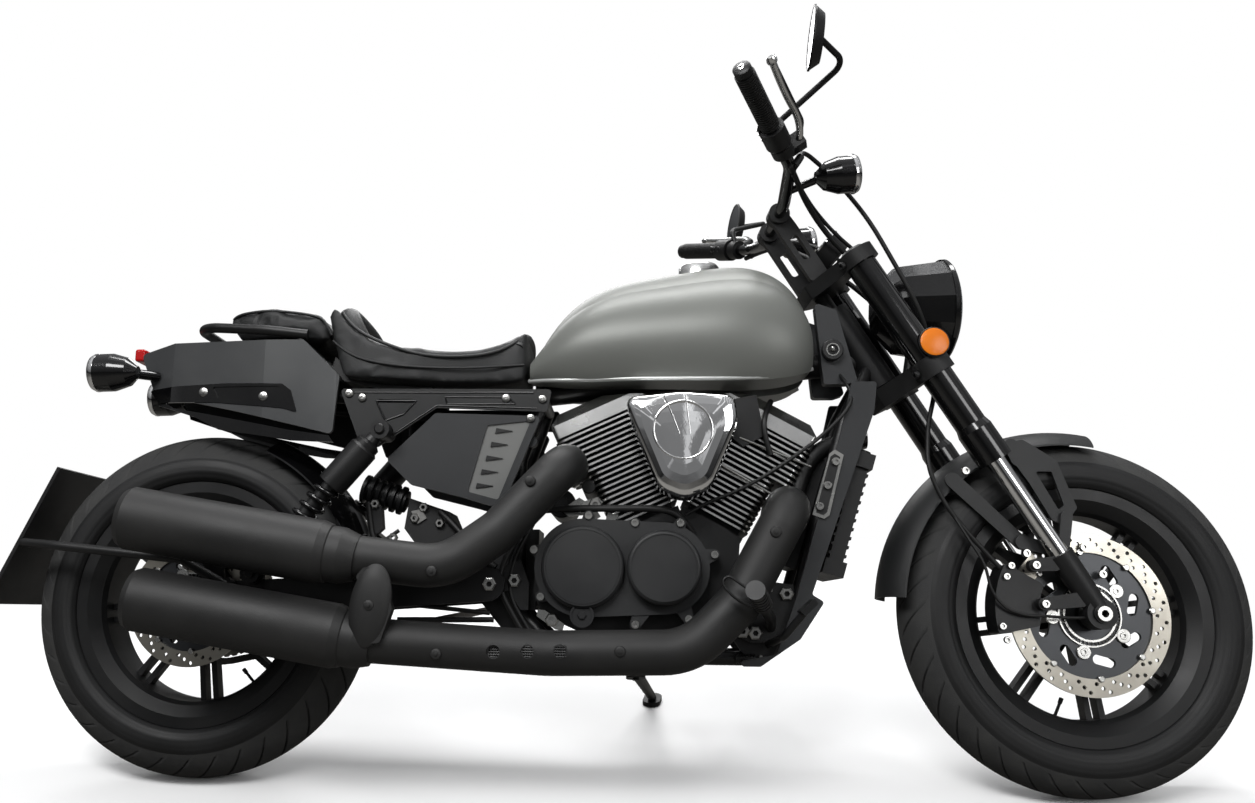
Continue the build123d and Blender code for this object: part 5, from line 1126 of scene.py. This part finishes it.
def drum(bm, x, z, radius, low, high, lip=1.5):
    """A short turned boss across the machine with its ends broken."""
    length = high - low
    shape = lathe([(0, 0), (radius - lip, 0), (radius, lip), (radius, length - lip), (radius - lip, length),
                   (0, length)], 28)
    stamp(bm, shape, facing((x, low, z), LEFT))


for index, (points, radius) in enumerate((
        ([(1136, -66, 716), (1150, -98, 684), (1148, -121, 648), (1099, -121, 597), (1048, -120, 559),
          (992, -116, 522), (946, -112, 499), (900, -108, 482), (866, -108, 462)], 3.2),
        ([(604, -92, 476), (586, -104, 430), (558, -106, 386), (547, -106, 344), (566, -106, 303),
          (598, -104, 252)], 5),
        ([(616, -90, 470), (602, -96, 440), (573, -98, 387), (562, -98, 331), (597, -98, 271),
          (612, -98, 250)], 4),
        ([(596, -84, 466), (574, -90, 420), (552, -92, 366), (572, -92, 300), (606, -92, 262)], 6),
        ([(1122, -48, 590), (1086, -56, 574), (1060, -64, 512), (1040, -64, 440), (1008, -60, 384),
          (974, -60, 352)], 15),
        ([(1122, 48, 590), (1086, 56, 574), (1060, 64, 512), (1040, 64, 440), (1008, 60, 384),
          (974, 60, 352)], 13),
        ([(975, -222, 318), (962, -224, 332), (945, -226, 343), (925, -226, 358), (914, -226, 344),
          (932, -226, 324), (950, -224, 312), (970, -222, 306)], 2.2),
        ([(905, -96, 224), (944, -96, 224)], 2.4),
        ([(1018, -70, 664), (1004, -100, 640), (1000, -104, 600), (1012, -98, 566)], 5))):
    wire(f"bay_line_{index}", points, radius, BIKE, "frame", rubber_black)

bm = bmesh.new()
slab(bm, [(560, 300), (608, 300), (612, 440), (566, 440)], -50, 50)
slab(bm, [(1112, 560), (1092, 566), (1034, 380), (1054, 374)], -52, 52)
slab(bm, [(1000, 424), (1036, 436), (1044, 508), (1012, 498)], -44, 44)
slab(bm, [(937, 661), (990, 671), (1002, 600), (966, 580), (944, 598)], -98, -70)
slab(bm, [(536, 354), (569, 380), (585, 384), (600, 345), (599, 300), (586, 300), (566, 332), (540, 326)],
     -101, -96)
slab(bm, [(956, 258), (1002, 352), (1044, 346), (1046, 318), (1022, 252), (972, 250)], -100, -90)
drum(bm, 652, 484, 25, -72, 72)
drum(bm, 652, 484, 13, -78, 78)
drum(bm, 700, 512, 12, -84, 60)
added("bay_castings", bm, BIKE, "frame", cast_black)

bm = bmesh.new()
slab(bm, [(652, 470), (684, 492), (694, 486), (716, 493), (725, 484), (712, 474), (721, 460), (704, 448),
          (690, 462), (666, 460)], -94, -84)
slab(bm, [(616, 301), (628, 300), (661, 277), (658, 266), (646, 268), (614, 290)], -108, -102)
slab(bm, [(988, 350), (1010, 346), (1008, 334), (986, 338)], -106, -99)
slab(bm, [(734, 466), (752, 462), (744, 448), (730, 454)], -98, -88)
slab(bm, [(664, 528), (682, 534), (690, 516), (676, 508), (662, 514)], -106, -88)
slab(bm, [(1108, 566), (1117, 572), (1131, 563), (1104, 461), (1095, 455), (1076, 462)], -118, -113)
nut = lathe([(5, 0), (12, 0), (12, 5), (9.5, 7), (5, 7), (5, 0)], 6)
for point in ((1032, -100, 331), (958, -101, 269), (979, -101, 266), (575, -101, 349), (640, -107, 284),
              (712, -94, 480), (1059, -88, 449), (535, -122, 342)):
    stamp(bm, nut, facing(point, RIGHT))
added("bay_brackets", bm, BIKE, "frame", bright_zinc)

bm = bmesh.new()
slab(bm, [(1109, 560), (1116, 565), (1125, 559), (1100, 466), (1094, 461), (1082, 466)], -119, -117)
ribbed = [(0, 0)]
for step in range(8):
    ribbed += [(8, step * 4.2), (8, step * 4.2 + 2.4), (6, step * 4.2 + 2.8), (6, step * 4.2 + 4)]
stamp(bm, lathe(ribbed + [(0, 33)], 20), facing((946, -96, 224), (1, 0, 0)))
added("bay_small_black", bm, BIKE, "frame", moulded_black)
bm = bmesh.new()
for x, z in ((1117, 551), (1102, 511), (1088, 476)):
    stamp(bm, cover_screw, facing((x, -119, z), RIGHT))
stamp(bm, lathe([(0, 10), (2, 10), (3, 9), (3, 0), (0, 0)], 12), facing((987, -96, 228), RIGHT))
added("bay_screws", bm, BIKE, "frame", bright_zinc)
for index, run in enumerate((((921, -96, 553), (1013, -102, 497)), ((960, -98, 596), (1079, -100, 545)))):
    wire(f"bay_stay_{index}", run, 2, BIKE, "frame", bright_zinc)
for index, (points, radius) in enumerate((
        ([(306, -62, 486), (312, -62, 450), (318, -62, 420), (342, -64, 398), (374, -66, 387),
          (434, -66, 392)], 5),
        ([(364, -64, 436), (340, -66, 418), (313, -66, 401)], 3.5),
        ([(379, -100, 308), (460, -104, 301), (534, -104, 294)], 4),
        ([(374, -96, 281), (460, -98, 282), (540, -98, 283)], 5),
        ([(436, -60, 470), (470, -70, 440), (500, -80, 400), (540, -84, 372)], 6))):
    wire(f"arm_line_{index}", points, radius, BIKE, "frame", rubber_black)
bm = bmesh.new()
boot = [(0, 0)]
for step in range(6):
    boot += [(26, step * 14 + 2), (26, step * 14 + 8), (20, step * 14 + 10), (20, step * 14 + 14)]
stamp(bm, lathe(boot + [(14, 86), (0, 86)], 28), facing((290, -34, 514), (93, 0, -29)))
slab(bm, [(380, 494), (452, 470), (470, 430), (440, 398), (400, 404), (372, 440)], -58, 30)
slab(bm, [(300, 470), (330, 480), (334, 440), (312, 420)], -60, -40)
added("arm_castings", bm, BIKE, "frame", cast_black)
bm = bmesh.new()
for x, y, z in ((354, -62, 423), (436, -60, 449), (391, -60, 458), (406, -60, 477), (319, -62, 483)):
    stamp(bm, nut, facing((x, y, z), RIGHT) @ Matrix.Diagonal((0.75, 0.75, 0.9, 1)))
slab(bm, [(384, 470), (402, 474), (412, 458), (396, 448)], -62, -57)
added("arm_nuts", bm, BIKE, "frame", bright_zinc)

# ---- Seat pan: the black moulded shell under the rider's pad, screwed down over the rails behind the tank.
# It lies across both rails and turns up at its back.
bm = bmesh.new()
slab(bm, [(238, 718), (262, 700), (330, 684), (420, 678), (420, 690), (330, 698), (262, 728), (244, 744)],
     -96, 96)
added("seat_pan", bm, BIKE, "frame", moulded_black)
